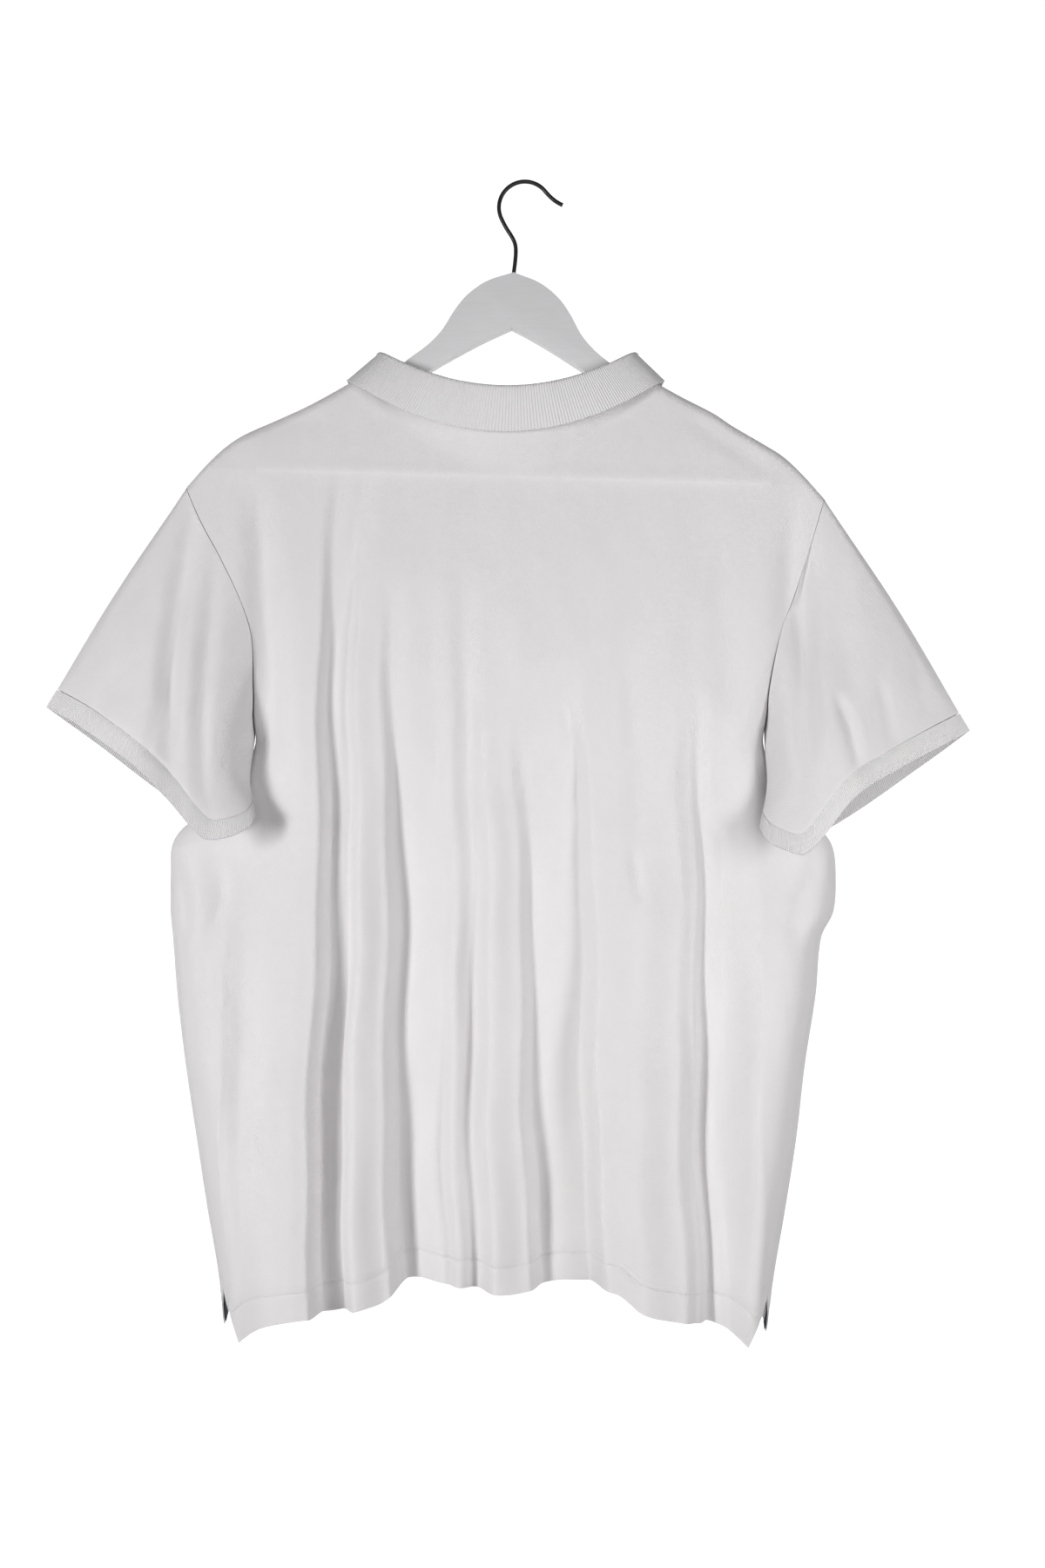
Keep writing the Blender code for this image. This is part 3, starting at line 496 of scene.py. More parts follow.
def column_run(face, across, drop):
    """Cloth from the centre line to a column: only the outer ones follow the armhole's curve."""
    left, share = across < 0, abs(across)
    tip = tip_drop(left)
    edge = edge_run(face, left, drop)
    level = min(max((drop - tip) / (SEAM_TURNED - tip), 0.0), 1.0)
    plain = mix(edge_run(face, left, tip), edge_run(face, left, SEAM_TURNED), level)
    plain = edge if drop > SEAM_TURNED else plain
    return share * plain + share ** 3 * (edge - plain)


def fold_depth(face, x, drop):
    """How far the folds press this spot of the face inwards."""
    folds = []
    for fold in FOLDS_BACK if face == BACK else FOLDS_FRONT:
        grown = min(max((drop - fold["start"]) / (FOLD_FULL - fold["start"]), 0.0), 1.0)
        depth = fold["depth"] * (1 - (1 - grown) ** FOLD_GROWTH)
        depth *= 1 + SWELLING * math.sin(drop / SWELL_DROP + fold["hem_x"] / SWELL_X)
        folds.append((mix(fold["top_x"], fold["hem_x"], drop / FOLD_FULL), depth))
    long_wave = LONG_WAVER * math.sin(drop / LONG_DROP + LONG_START)
    x += long_wave + SHORT_WAVER * math.sin(drop / SHORT_DROP + x / SHORT_X)
    total = 0.0
    for (x0, depth0), (x1, depth1) in zip(folds, folds[1:]):
        if x0 <= x < x1:
            total = mix(depth0, depth1, ease(x0, x1, x))
    if face == BACK:
        across = (abs(x - CENTRE_X) - TUCK_X) / TUCK_WIDTH
        along = (drop - TUCK_DROP) / TUCK_HEIGHT
        total += TUCK_DEPTH * math.exp(-across * across - along * along)
    return total + crease_depth(CREASES_BACK if face == BACK else CREASES_FRONT, x, drop)


def face_depth(face, x, drop):
    """Depth of the wall's middle on a face, folds included."""
    return body("back" if face == BACK else "front", drop) - fold_depth(face, x, drop)


def body_point(face, across, drop, out=0.0):
    """A point of the back or front panel, moved `out` from its wall's middle."""
    left = across < 0
    half, corner = body("left" if left else "right", drop), body("corner", drop)
    depth = body("back" if face == BACK else "front", drop)
    run = column_run(face, across, drop)
    past = max(run - (half - corner), 0.0) / ((corner + depth) / 2)
    reach = min(run, half - corner) + (corner + out) * math.sin(past)
    x = CENTRE_X + (-reach if left else reach)
    facing = math.cos(past)
    seen_face = face if facing >= 0 else -face
    y = (face_depth(seen_face, x, drop) + out) * facing
    return x, face * y, drop


def shoulder_rounding(face, x, drop, lift=0.0):
    """How far the panel has turned down at this drop: 0 at its upper edge, 1 on its flat face."""
    edge_drop = top_edge(face, x)[2] - lift
    neck = max(1 - ((x - NECK_X) / NECK_HALF) ** 2, 0.0)
    below = min((drop - edge_drop) / (mix(SHOULDER_ROUND, NECK_REACH, neck) + lift), 1.0)
    if below <= 0:
        return 0.0
    arched = math.sqrt(1 - (1 - below) ** 2)
    return mix(arched, ease(0, 1, below), min(neck * 4, 1.0))


def panel_point(face, across, share):
    """A point of the panel: `share` runs 0 to 1 from the hem to the shoulder or neck seam."""
    left = across < 0
    tip = tip_drop(left)
    top_x = CENTRE_X + across * edge_run(face, left, tip)
    _, edge_y, edge_drop = top_edge(face, top_x)
    drop = mix(hem_drop(face, across), edge_drop, share)
    x, y, _ = body_point(face, across, max(drop, tip))
    if drop < tip:
        y = face * face_depth(face, x, drop)
    rounded = shoulder_rounding(face, x, drop)
    return x, mix(edge_y + face * SEAM_GAP / 2, y, rounded), drop


def cloth_piece(name, columns, rows, place, wall, closed=False):
    """A grid laid out by `place`, which gives a spot's x, y and drop, and its run and height in the cut."""
    mesh = bpy.data.meshes.new(name)
    bm = bmesh.new()
    cut = bm.loops.layers.uv.new("cut")
    bmesh.ops.create_grid(bm, x_segments=columns, y_segments=rows, size=0.5)
    spots = {vertex: place(vertex.co.x + 0.5, vertex.co.y + 0.5) for vertex in bm.verts}
    for vertex, (x, y, drop, _, _) in spots.items():
        vertex.co = (x * MM, y * MM, -drop * MM)
    for face in bm.faces:
        for corner in face.loops:
            corner[cut].uv = (spots[corner.vert][3] * MM, spots[corner.vert][4] * MM)
    if closed:
        bmesh.ops.remove_doubles(bm, verts=bm.verts, dist=0.02 * MM)
    bm.normal_update()
    bm.to_mesh(mesh)
    bm.free()
    draft = bpy.data.objects.new("draft", mesh)
    scene.collection.objects.link(draft)
    thickness = draft.modifiers.new("cloth", "SOLIDIFY")
    thickness.thickness = wall * MM
    thickness.offset = 0.0
    bpy.context.view_layer.update()
    cloth = bpy.data.meshes.new_from_object(draft.evaluated_get(bpy.context.evaluated_depsgraph_get()))
    bpy.data.objects.remove(draft, do_unlink=True)
    bpy.data.meshes.remove(mesh)
    cloth.name = name
    cloth.shade_smooth()
    cloth.set_sharp_from_angle(angle=math.radians(60))
    piece = bpy.data.objects.new(name, cloth)
    scene.collection.objects.link(piece)
    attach(piece, "root")
    return piece


def knit(name, colour, cell, bump, warm=0.02):
    """Pique or rib: a bumpy knit in the cut's own millimetres, a little uneven in tone."""
    material = bpy.data.materials.new(name)
    material.use_nodes = True
    tree = material.node_tree
    shader = tree.nodes["Principled BSDF"]
    shader.inputs["Roughness"].default_value = 0.92
    shader.inputs["Specular IOR Level"].default_value = 0.18
    shader.inputs["Sheen Weight"].default_value = 0.12
    shader.inputs["Sheen Roughness"].default_value = 0.5
    cut_map = tree.nodes.new("ShaderNodeUVMap")
    cut_map.uv_map = "cut"
    cells = tree.nodes.new("ShaderNodeMapping")
    cells.inputs["Scale"].default_value = [2 * math.pi / (size * MM) for size in cell] + [1]
    parts = tree.nodes.new("ShaderNodeSeparateXYZ")
    waves = []
    for axis in ("X", "Y"):
        wave = tree.nodes.new("ShaderNodeMath")
        wave.operation = "SINE"
        tree.links.new(parts.outputs[axis], wave.inputs[0])
        waves.append(wave)
    loops = tree.nodes.new("ShaderNodeMath")
    loops.operation = "MULTIPLY" if cell[1] < 50 else "ADD"
    tree.links.new(cut_map.outputs["UV"], cells.inputs["Vector"])
    tree.links.new(cells.outputs["Vector"], parts.inputs["Vector"])
    tree.links.new(waves[0].outputs[0], loops.inputs[0])
    tree.links.new(waves[1].outputs[0], loops.inputs[1])
    object_place = tree.nodes.new("ShaderNodeTexCoord")
    hanging = tree.nodes.new("ShaderNodeMapping")
    hanging.inputs["Scale"].default_value = (1, 1, 0.4)
    slack = tree.nodes.new("ShaderNodeTexNoise")
    slack.inputs["Scale"].default_value = 46
    slack.inputs["Detail"].default_value = 4
    tree.links.new(object_place.outputs["Object"], hanging.inputs["Vector"])
    tree.links.new(hanging.outputs["Vector"], slack.inputs["Vector"])
    fine = tree.nodes.new("ShaderNodeBump")
    fine.inputs["Strength"].default_value = bump
    fine.inputs["Distance"].default_value = 0.00025
    broad = tree.nodes.new("ShaderNodeBump")
    broad.inputs["Strength"].default_value = 0.34
    broad.inputs["Distance"].default_value = 0.004
    tree.links.new(loops.outputs[0], fine.inputs["Height"])
    tree.links.new(slack.outputs["Fac"], broad.inputs["Height"])
    tree.links.new(broad.outputs["Normal"], fine.inputs["Normal"])
    tree.links.new(fine.outputs["Normal"], shader.inputs["Normal"])
    tone = tree.nodes.new("ShaderNodeValToRGB")
    tone.color_ramp.elements[0].position = 0.3
    tone.color_ramp.elements[0].color = (*[c - warm for c in colour], 1)
    tone.color_ramp.elements[1].position = 0.7
    tone.color_ramp.elements[1].color = (*colour, 1)
    tree.links.new(slack.outputs["Fac"], tone.inputs["Fac"])
    tree.links.new(tone.outputs["Color"], shader.inputs["Base Color"])
    return material


PIQUE_CELL, PIQUE_RELIEF = (1.3, 1.1), 0.6
white_pique = knit("white pique", (0.80, 0.78, 0.786), PIQUE_CELL, PIQUE_RELIEF)
PANEL_COLUMNS, PANEL_ROWS = 240, 170
HEM_TURN, HEM_PULL, HEM_PULL_WIDTH = 22.0, 1.0, 1.5
HEM_ROWS, HEM_HEIGHT = 0.12, 0.04   # share of the rows that lie close together, over a share of the height
CUT_LENGTH = 960.0                  # the cut's height is counted up from this drop


def panel_spot(face):
    """Placing for a panel, its rows closer at the hem, where a line of sewing is pulled in."""
    def place(column, row):
        across = (2 * column - 1) * -face
        left = across < 0
        share = row * HEM_HEIGHT / HEM_ROWS
        if row >= HEM_ROWS:
            share = mix(HEM_HEIGHT, 1, (row - HEM_ROWS) / (1 - HEM_ROWS))
        x, y, drop = panel_point(face, across, share)
        off_sewing = hem_drop(face, across) - drop - HEM_TURN
        y -= face * HEM_PULL * math.exp(-(off_sewing / HEM_PULL_WIDTH) ** 2)
        run = column_run(face, across, max(drop, tip_drop(left)))
        return x, y, drop, -run if left else run, CUT_LENGTH - drop
    return place


back = cloth_piece("back", PANEL_COLUMNS, PANEL_ROWS, panel_spot(BACK), CLOTH_WALL)
# The back gets its own copy of the pique, which carries painted light: a painted light line at the bar and
# painted shade on the yoke
back_pique_with_painted_light = white_pique.copy()
back_pique_with_painted_light.name = "white pique with painted bar light and yoke shade"
bar_painted_light_tree = back_pique_with_painted_light.node_tree


def sum_up(operation, a, b):
    """One step of a sum in the material; a number or another step's outcome goes in."""
    step = bar_painted_light_tree.nodes.new("ShaderNodeMath")
    step.operation = operation
    for socket, value in zip(step.inputs, (a, b)):
        if isinstance(value, (int, float)):
            socket.default_value = value
        else:
            bar_painted_light_tree.links.new(value, socket)
    return step.outputs[0]


# The trouser bar touches the cloth from inside; along it, on the cut, a thin line of painted light is added
# to the cloth's colour, with painted shade on the yoke above it
BAR_DROP, BAR_SLOPE, BAR_REACH, BAR_HALF = 0.2452, 0.0283, 0.213, 0.0024    # metres, but the slope
PAINTED_BAR_LIGHT, PAINTED_YOKE_SHADE = 0.05, 0.022
bar_place = bar_painted_light_tree.nodes.new("ShaderNodeUVMap")
bar_place.uv_map = "cut"
bar_parts = bar_painted_light_tree.nodes.new("ShaderNodeSeparateXYZ")
bar_painted_light_tree.links.new(bar_place.outputs["UV"], bar_parts.inputs[0])
bar_line = sum_up("MULTIPLY", bar_parts.outputs["X"], -BAR_SLOPE)
bar_height = CUT_LENGTH * MM - BAR_DROP
above_bar = sum_up("SUBTRACT", sum_up("SUBTRACT", bar_parts.outputs["Y"], bar_height), bar_line)
bar_near = sum_up("DIVIDE", above_bar, BAR_HALF)
painted_bar_glow = sum_up("DIVIDE", 1.0, sum_up("ADD", 1.0, sum_up("MULTIPLY", bar_near, bar_near)))
bar_within = sum_up("LESS_THAN", sum_up("ABSOLUTE", bar_parts.outputs["X"], 0), BAR_REACH)
painted_yoke_shade = sum_up("MULTIPLY", sum_up("GREATER_THAN", above_bar, 0.0), PAINTED_YOKE_SHADE)
painted_bar_light = sum_up("MULTIPLY", sum_up("MULTIPLY", painted_bar_glow, bar_within), PAINTED_BAR_LIGHT)
painted_bar_tone = sum_up("SUBTRACT", painted_bar_light, painted_yoke_shade)
# The painted light and painted shade are added to the cloth's colour here
painted_bar_mix = bar_painted_light_tree.nodes.new("ShaderNodeVectorMath")
painted_bar_mix.operation = "ADD"
cloth_shader = bar_painted_light_tree.nodes["Principled BSDF"]
cloth_colour = cloth_shader.inputs["Base Color"].links[0].from_socket
bar_painted_light_tree.links.new(cloth_colour, painted_bar_mix.inputs[0])
bar_painted_light_tree.links.new(painted_bar_tone, painted_bar_mix.inputs[1])
bar_painted_light_tree.links.new(painted_bar_mix.outputs[0], cloth_shader.inputs["Base Color"])
back.data.materials.append(back_pique_with_painted_light)
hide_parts("back_panel")


# ---- The front: one piece of the same pique, cut as the back with a deeper neck and a slit for the
# placket. It hangs from the same seams, falls in softer folds, and laps a little round the sides.
FOLDS_FRONT = named_rows(FOLD_COLUMNS, (
    (-184, -188, 300, 0), (-156, -158, 300, 28), (-124, -128, 300, 4), (-100, -102, 420, 4),
    (-78, -78, 420, 32), (-50, -50, 420, 5), (-20, -18, 420, 0), (30, 32, 400, 2), (58, 62, 400, 32),
    (88, 92, 400, 5), (112, 110, 480, 3), (140, 136, 480, 24), (172, 168, 480, 0),
))
HEM_FRONT = ((-1, 945), (-0.8, 932), (-0.4, 918), (0, 912), (0.4, 920), (0.8, 938), (1, 952))
CREASES_FRONT = named_rows(CREASE_COLUMNS, (
    (-150, 250, -160, 470, 6, 2.6, 12),
    (-60, 330, -70, 520, -5, 2.0, 11),
    (70, 330, 64, 540, 5, 2.2, 10),
    (160, 270, 150, 500, -6, 3.0, 12),
    (-214, 240, -176, 500, -10, 4.0, 12),
    (206, 245, 170, 520, 10, 4.0, 12),
    (0, 430, 6, 600, 3, 1.8, 9),
    (-30, 520, -22, 700, 2, 1.6, 9),
    (28, 560, 22, 760, -3, 1.6, 8),
    (-244, 540, -214, 620, 4, 3.0, 8),
    (228, 545, 200, 620, -4, 3.0, 8),
))

front = cloth_piece("front", 170, 150, panel_spot(FRONT), CLOTH_WALL)
front.data.materials.append(white_pique)
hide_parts("front_panel")


# ---- The sleeves: each cut in one piece of pique, sewn to a tube at the underarm and set into the
# armhole. They hang half open, with the back wall swelling and creases running down beside the body.
CUFF_WIDTH = 17.0
# A cuff's open edge, from its outer tip round the back to the underarm, then round the front
CUFF_COLUMNS = ("share", "x", "y", "drop")
CUFF_LEFT = (
    (0, -391, -16, 437), (0.08, -362, -30, 452), (0.2, -314, -52, 484), (0.3, -286, -64, 510),
    (0.4, -256, -70, 542), (0.44, -238, -69, 542), (0.48, -222, -62, 535), (0.51, -217, -52, 526),
    (0.56, -224, -42, 529), (0.62, -241, -37, 536), (0.72, -285, -28, 514), (0.88, -350, -14, 467),
    (1, -391, -16, 437),
)
CUFF_RIGHT = (
    (0, 366, -16, 456), (0.08, 338, -32, 469), (0.2, 296, -52, 490), (0.3, 263, -64, 510),
    (0.4, 224, -72, 554), (0.44, 207, -70, 552), (0.48, 193, -63, 544), (0.51, 189, -52, 535),
    (0.56, 197, -42, 538), (0.62, 217, -37, 547), (0.72, 258, -28, 530), (0.88, 328, -14, 484),
    (1, 366, -16, 456),
)
SLEEVE_SWELL, SLEEVE_CURVE, SLEEVE_OUT = 9.0, 1.5, 0.4
SLEEVE_SWING, SWING_FROM, SWING_PAST = 16.0, -275.0, 60.0   # the left sleeve's end swings out behind
CREASE_HOLD = 0.3                   # the lower, the nearer to the two seams a crease keeps its depth
SLEEVE_ROUND = 430.0                # once round the sleeve's cut
ARMHOLE_GAP, CUFF_GAP = 0.5, 0.6
SEAM_PULL, SEAM_PULL_WIDTH = 1.3, 2.4
SEAM_LAP = 2.2                      # the sleeve's seam lies this far over the panel, low on the armhole
LAP_BACK, LAP_FRONT = (340.0, 420.0), (400.0, 445.0)        # drops where the lap starts and is full
ARMHOLE_STEPS, ARMHOLE_CROWDING = 120, 1.6
RING_COLUMNS, SLEEVE_ROWS, CUFF_ROWS = 144, 56, 8
CREASES_SLEEVE_LEFT = named_rows(CREASE_COLUMNS, (
    (-262, 205, -283, 520, -10, 14.0, 9),
    (-252, 290, -250, 560, -6, 6.0, 8),
    (-300, 330, -330, 450, 6, 3.0, 12),
    (-330, 400, -352, 448, 2, 2.4, 6),
    (-296, 430, -304, 484, 2, 3.0, 5),
))
CREASES_SLEEVE_RIGHT = named_rows(CREASE_COLUMNS, (
    (236, 215, 226, 530, -3, 14.0, 9),
    (246, 420, 270, 500, 2, 5.0, 6),
    (316, 385, 326, 450, 1, 3.4, 6),
    (284, 410, 296, 476, 1, 3.0, 6),
    (262, 290, 262, 450, -4, 3.0, 10),
))


def armhole_edge(face, left, drop, out):
    """A point of a panel's armhole edge at a drop, moved out of its wall."""
    across = -1 if left else 1
    hem = hem_drop(face, across)
    x, y, _ = panel_point(face, across, (hem - drop) / (hem - tip_drop(left)))
    moved, plain = (body_point(face, across, max(drop, tip_drop(left)), amount) for amount in (out, 0.0))
    return Vector((x + moved[0] - plain[0], y + moved[1] - plain[1], drop))


def armhole_line(face, left):
    """The armhole seam on one panel, from the shoulder tip to the underarm, with its running length."""
    tip = tip_drop(left)
    lap_from, lap_full = LAP_BACK if face == BACK else LAP_FRONT
    line = []
    for step in range(ARMHOLE_STEPS + 1):
        drop = UNDERARM - (UNDERARM - tip) * (1 - step / ARMHOLE_STEPS) ** ARMHOLE_CROWDING
        spot = armhole_edge(face, left, drop, SEAM_LAP * ease(lap_from, lap_full, drop))
        if drop < tip + 1:
            spot.y = 0.0
        line.append(spot)
    lengths = [0.0]
    for a, b in zip(line, line[1:]):
        lengths.append(lengths[-1] + (b - a).length)
    return line, lengths


def armhole_point(lines, turn):
    """The armhole seam at `turn`: down the back to the underarm at a half, and up the front."""
    line, lengths = lines[BACK if turn <= 0.5 else FRONT]
    share = turn * 2 if turn <= 0.5 else (1 - turn) * 2
    wanted = share * lengths[-1]
    low = max(i for i in range(len(lengths) - 1) if lengths[i] <= wanted)
    part = (wanted - lengths[low]) / (lengths[low + 1] - lengths[low])
    return line[low].lerp(line[low + 1], min(part, 1.0))


def sleeve_point(start, end, share, turn, side, creases):
    """Between the armhole and the cuff's edge, swelling out between them."""
    swell = SLEEVE_SWELL * math.sin(math.pi * share) ** SLEEVE_CURVE
    back_side = math.sin(math.pi * min(turn, 0.5) / 0.5)
    front_side = math.sin(math.pi * max(turn - 0.5, 0) / 0.5)
    x, y, drop = start.lerp(end, share)
    pressed = crease_depth(creases, x, drop) * max(back_side, front_side)
    pressed *= math.sin(math.pi * share) ** CREASE_HOLD
    x += side * swell * (SLEEVE_OUT + front_side)
    y += -swell * back_side + pressed * (1 if turn < 0.5 else -1)
    if side < 0:
        outer = (SWING_FROM - x) / (SWING_FROM - end.x + SWING_PAST)
        y -= SLEEVE_SWING * min(max(outer, 0.0), 1.0) * share
    return x, y, drop


def sleeve_spot(left, first_mm, last_mm):
    """Placing for a tube from the armhole (0) or, below 0, counted back from the cuff's edge."""
    lines = {face: armhole_line(face, left) for face in (BACK, FRONT)}
    table = CUFF_LEFT if left else CUFF_RIGHT
    creases = CREASES_SLEEVE_LEFT if left else CREASES_SLEEVE_RIGHT
    side = -1 if left else 1

    def place(column, row):
        turn = column if left else 1 - column
        turn = turn % 1.0
        start = armhole_point(lines, turn)
        end = Vector([row_value(table, CUFF_COLUMNS, c, turn) for c in ("x", "y", "drop")])
        length = (end - start).length
        shares = [(mm if mm >= 0 else length + mm) / length for mm in (first_mm, last_mm)]
        share = mix(shares[0], shares[1], row)
        x, y, drop = sleeve_point(start, end, share, turn, side, creases)
        inward = math.sin(2 * math.pi * turn) if first_mm >= 0 or row < 0.5 else 0.0
        off_seam = (1 - share) * length - CUFF_WIDTH
        y += inward * SEAM_PULL * math.exp(-(off_seam / SEAM_PULL_WIDTH) ** 2)
        return x, y, drop, column * SLEEVE_ROUND, -share * length
    return place


for side_name, left in (("left", True), ("right", False)):
    sleeve = cloth_piece(f"sleeve_tube_{side_name}", RING_COLUMNS, SLEEVE_ROWS,
                         sleeve_spot(left, ARMHOLE_GAP, -CUFF_WIDTH - CUFF_GAP), CLOTH_WALL, closed=True)
    sleeve.data.materials.append(white_pique)
    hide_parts(f"sleeve_{side_name}")


# ---- The cuffs: a doubled band of rib knit round each sleeve's end, a little tighter than the sleeve.
# Its ribs run along the arm, and the seam that joins it is pulled in a little.
RIB_WALL, RIB_RELIEF = 1.5, 0.9
RIB_CELL = (1.5, 1e6)               # the ribs never end along the second way
CUFF_EDGE = -0.001                  # counted back from the cuff's edge, so just at it
white_rib = knit("white rib knit", (0.81, 0.795, 0.80), RIB_CELL, RIB_RELIEF)

for side_name, left in (("left", True), ("right", False)):
    cuff = cloth_piece(f"rib_cuff_{side_name}", RING_COLUMNS, CUFF_ROWS,
                       sleeve_spot(left, -CUFF_WIDTH, CUFF_EDGE), RIB_WALL, closed=True)
    cuff.data.materials.append(white_rib)
    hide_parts(f"cuff_{side_name}")


# ---- The collar: one flat strip of rib, its stand sewn round the neck and its fall folded over it.
# Behind, the fold stands at the hanger and the fall lies on the yoke, with its points in front.
ROLL_HALF, ROLL_SIDE, ROLL_BACK, ROLL_FRONT = 106.0, 141.0, 173.0, 214.0
ROLL_RADIUS = 2.6
ROLL_DEPTH, ROLL_DEEPER = 8.5, {BACK: 12.5, FRONT: 9.5}     # at the sides, and what the middle adds
FALL_X, FALL_HALF, FALL_SIDE, FALL_BACK = -16.0, 132.0, 164.5, 211.5
FALL_DEPTH, FALL_DEEPER = 13.0, {BACK: 15.0, FRONT: 10.0}
COLLAR_POINT = (44.0, 26.0, 286.0)                          # half their distance, depth and drop
POINT_SPREAD, POINT_FALL = 1.3, 1.25
COLLAR_END = 0.965
COLLAR_LAP, COLLAR_LAP_FRONT = 2.0, 3.8
STAND_STEPS, ROLL_STEPS, FALL_STEPS = 6, 6, 12
COLLAR_COLUMNS, COLLAR_ROWS, COLLAR_LENGTH = 170, 40, 440.0


def surface_y(face, x, drop, gap):
    """Depth at which something clears the panel by `gap` at this place."""
    edge_y = top_edge(face, x)[1]
    rounded = shoulder_rounding(face, x, drop, gap)
    if rounded == 0:
        return 0.0
    neck = min(max(1 - ((x - NECK_X) / NECK_HALF) ** 2, 0.0) * 4, 1.0)
    return abs(mix(edge_y, face * face_depth(face, x, drop), rounded)) + gap * max(rounded, neck)


def roll_line(turn):
    """The line that the collar folds on, at `turn` round the neck."""
    face = BACK if abs(turn) <= 0.5 else FRONT
    share = math.sin(math.pi * turn)
    inner = 1 - share * share
    sag = (ROLL_BACK if face == BACK else ROLL_FRONT) - ROLL_SIDE
    y = (ROLL_DEPTH + ROLL_DEEPER[face] * inner) * (1 - abs(share) ** NECK_CLOSING)
    return Vector((NECK_X + ROLL_HALF * share, face * y, ROLL_SIDE + sag * inner))


def collar_across(turn):
    """Points across the collar at `turn`: up the stand, over the roll, and down the fall."""
    face = BACK if abs(turn) <= 0.5 else FRONT
    share = math.sin(math.pi * turn)
    inner = 1 - share * share
    seam = Vector(neck_edge(face, share))
    seam.y += face * SEAM_GAP / 2
    along = Vector(neck_edge(face, min(share + 0.01, 1))) - Vector(neck_edge(face, max(share - 0.01, -1)))
    seam += Vector((along.z, 0, -along.x)).normalized() * (SEAM_GAP + 0.2)
    roll = roll_line(turn)
    fall_y = (FALL_DEPTH + FALL_DEEPER[face] * inner) * (1 - abs(share) ** NECK_CLOSING)
    fall = Vector((FALL_X + FALL_HALF * share, face * fall_y, FALL_SIDE + (FALL_BACK - FALL_SIDE) * inner))
    if face == FRONT:
        forward = (abs(turn) - 0.5) / (COLLAR_END - 0.5)
        spread, point_y, point_drop = COLLAR_POINT
        side = 1 if turn > 0 else -1
        start_x = abs(FALL_X + FALL_HALF * side - CENTRE_X)
        fall.x = CENTRE_X + side * mix(start_x, spread, forward ** POINT_SPREAD)
        fall.y = mix(fall_y, point_y, forward)
        fall.z = mix(FALL_SIDE, point_drop, forward ** POINT_FALL)
    heading = roll_line(turn + 0.01) - roll_line(turn - 0.01)
    out = Vector((heading.y, -heading.x, 0)).normalized()
    inner_roll = roll - out * ROLL_RADIUS + Vector((0, 0, ROLL_RADIUS))
    outer_roll = roll + out * ROLL_RADIUS + Vector((0, 0, ROLL_RADIUS))
    stand = [seam.lerp(inner_roll, i / STAND_STEPS) for i in range(STAND_STEPS + 1)]
    over = []
    for step in range(1, ROLL_STEPS):
        angle = math.pi * step / ROLL_STEPS
        over.append(roll - out * ROLL_RADIUS * math.cos(angle)
                    + Vector((0, 0, ROLL_RADIUS * (1 - math.sin(angle)))))
    down = [outer_roll.lerp(fall, i / FALL_STEPS) for i in range(FALL_STEPS + 1)]
    for p in down[1:]:
        height = min((p.z - roll.z) / (seam.z - roll.z), 1.0)
        off_stand = mix(abs(inner_roll.y), abs(seam.y), height) + COLLAR_LAP * height
        off_panel = surface_y(face, p.x, p.z, COLLAR_LAP if face == BACK else COLLAR_LAP_FRONT)
        p.y = face * max(abs(p.y), off_stand * min(12 * inner, 1.0), off_panel)
    return stand + over + down


def collar_line(turn):
    """The section with its running length, so that a share of it can be found."""
    points = collar_across(turn)
    lengths = [0.0]
    for a, b in zip(points, points[1:]):
        lengths.append(lengths[-1] + (b - a).length)
    return points, lengths


collar_turns = [(-1 + 2 * i / COLLAR_COLUMNS) * COLLAR_END for i in range(COLLAR_COLUMNS + 1)]
collar_lines = [collar_line(turn) for turn in collar_turns]


def collar_spot(column, row):
    """Placing for the collar: along it by its columns, and across its section by its rows."""
    points, lengths = collar_lines[round(column * COLLAR_COLUMNS)]
    wanted = row * lengths[-1]
    low = max(i for i in range(len(lengths) - 1) if lengths[i] <= wanted)
    part = (wanted - lengths[low]) / (lengths[low + 1] - lengths[low])
    x, y, drop = points[low].lerp(points[low + 1], min(part, 1.0))
    return x, y, drop, column * COLLAR_LENGTH, wanted


rib_collar = cloth_piece("rib_collar", COLLAR_COLUMNS, COLLAR_ROWS, collar_spot, RIB_WALL)
rib_collar.data.materials.append(white_rib)
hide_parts("collar")


# ---- The dark tapes: woven cotton tape over the back neck seam, inside, and inside each side vent.
# Stitched flat on the cloth's inner face; the vent tapes show where the hem swings open.
TAPE_WALL, TAPE_CLEAR = 0.8, 0.3
TAPE_UNDER = -(CLOTH_WALL / 2 + TAPE_CLEAR + TAPE_WALL / 2)
TAPE_CUT = 300.0                    # length in the cut of a tape that runs half across the panel
NECK_TAPE_ACROSS, NECK_TAPE_SHARE = (0.36, -0.38), (0.978, 0.9985)
VENT_OUTER, VENT_INNER, VENT_FOOT = 0.995, 0.952, 0.002

navy_tape = bpy.data.materials.new("navy cotton tape")
navy_tape.use_nodes = True
navy = navy_tape.node_tree
navy_shader = navy.nodes["Principled BSDF"]
navy_shader.inputs["Roughness"].default_value = 0.85
navy_cut = navy.nodes.new("ShaderNodeUVMap")
navy_cut.uv_map = "cut"
navy_weave = navy.nodes.new("ShaderNodeTexWave")
navy_weave.bands_direction = "DIAGONAL"
navy_weave.inputs["Scale"].default_value = 190
navy_tone = navy.nodes.new("ShaderNodeValToRGB")
navy_tone.color_ramp.elements[0].color = (0.012, 0.016, 0.035, 1)
navy_tone.color_ramp.elements[1].color = (0.03, 0.038, 0.07, 1)
navy_bump = navy.nodes.new("ShaderNodeBump")
navy_bump.inputs["Strength"].default_value = 0.4
navy_bump.inputs["Distance"].default_value = 0.0002
navy.links.new(navy_cut.outputs["UV"], navy_weave.inputs["Vector"])
navy.links.new(navy_weave.outputs["Fac"], navy_tone.inputs["Fac"])
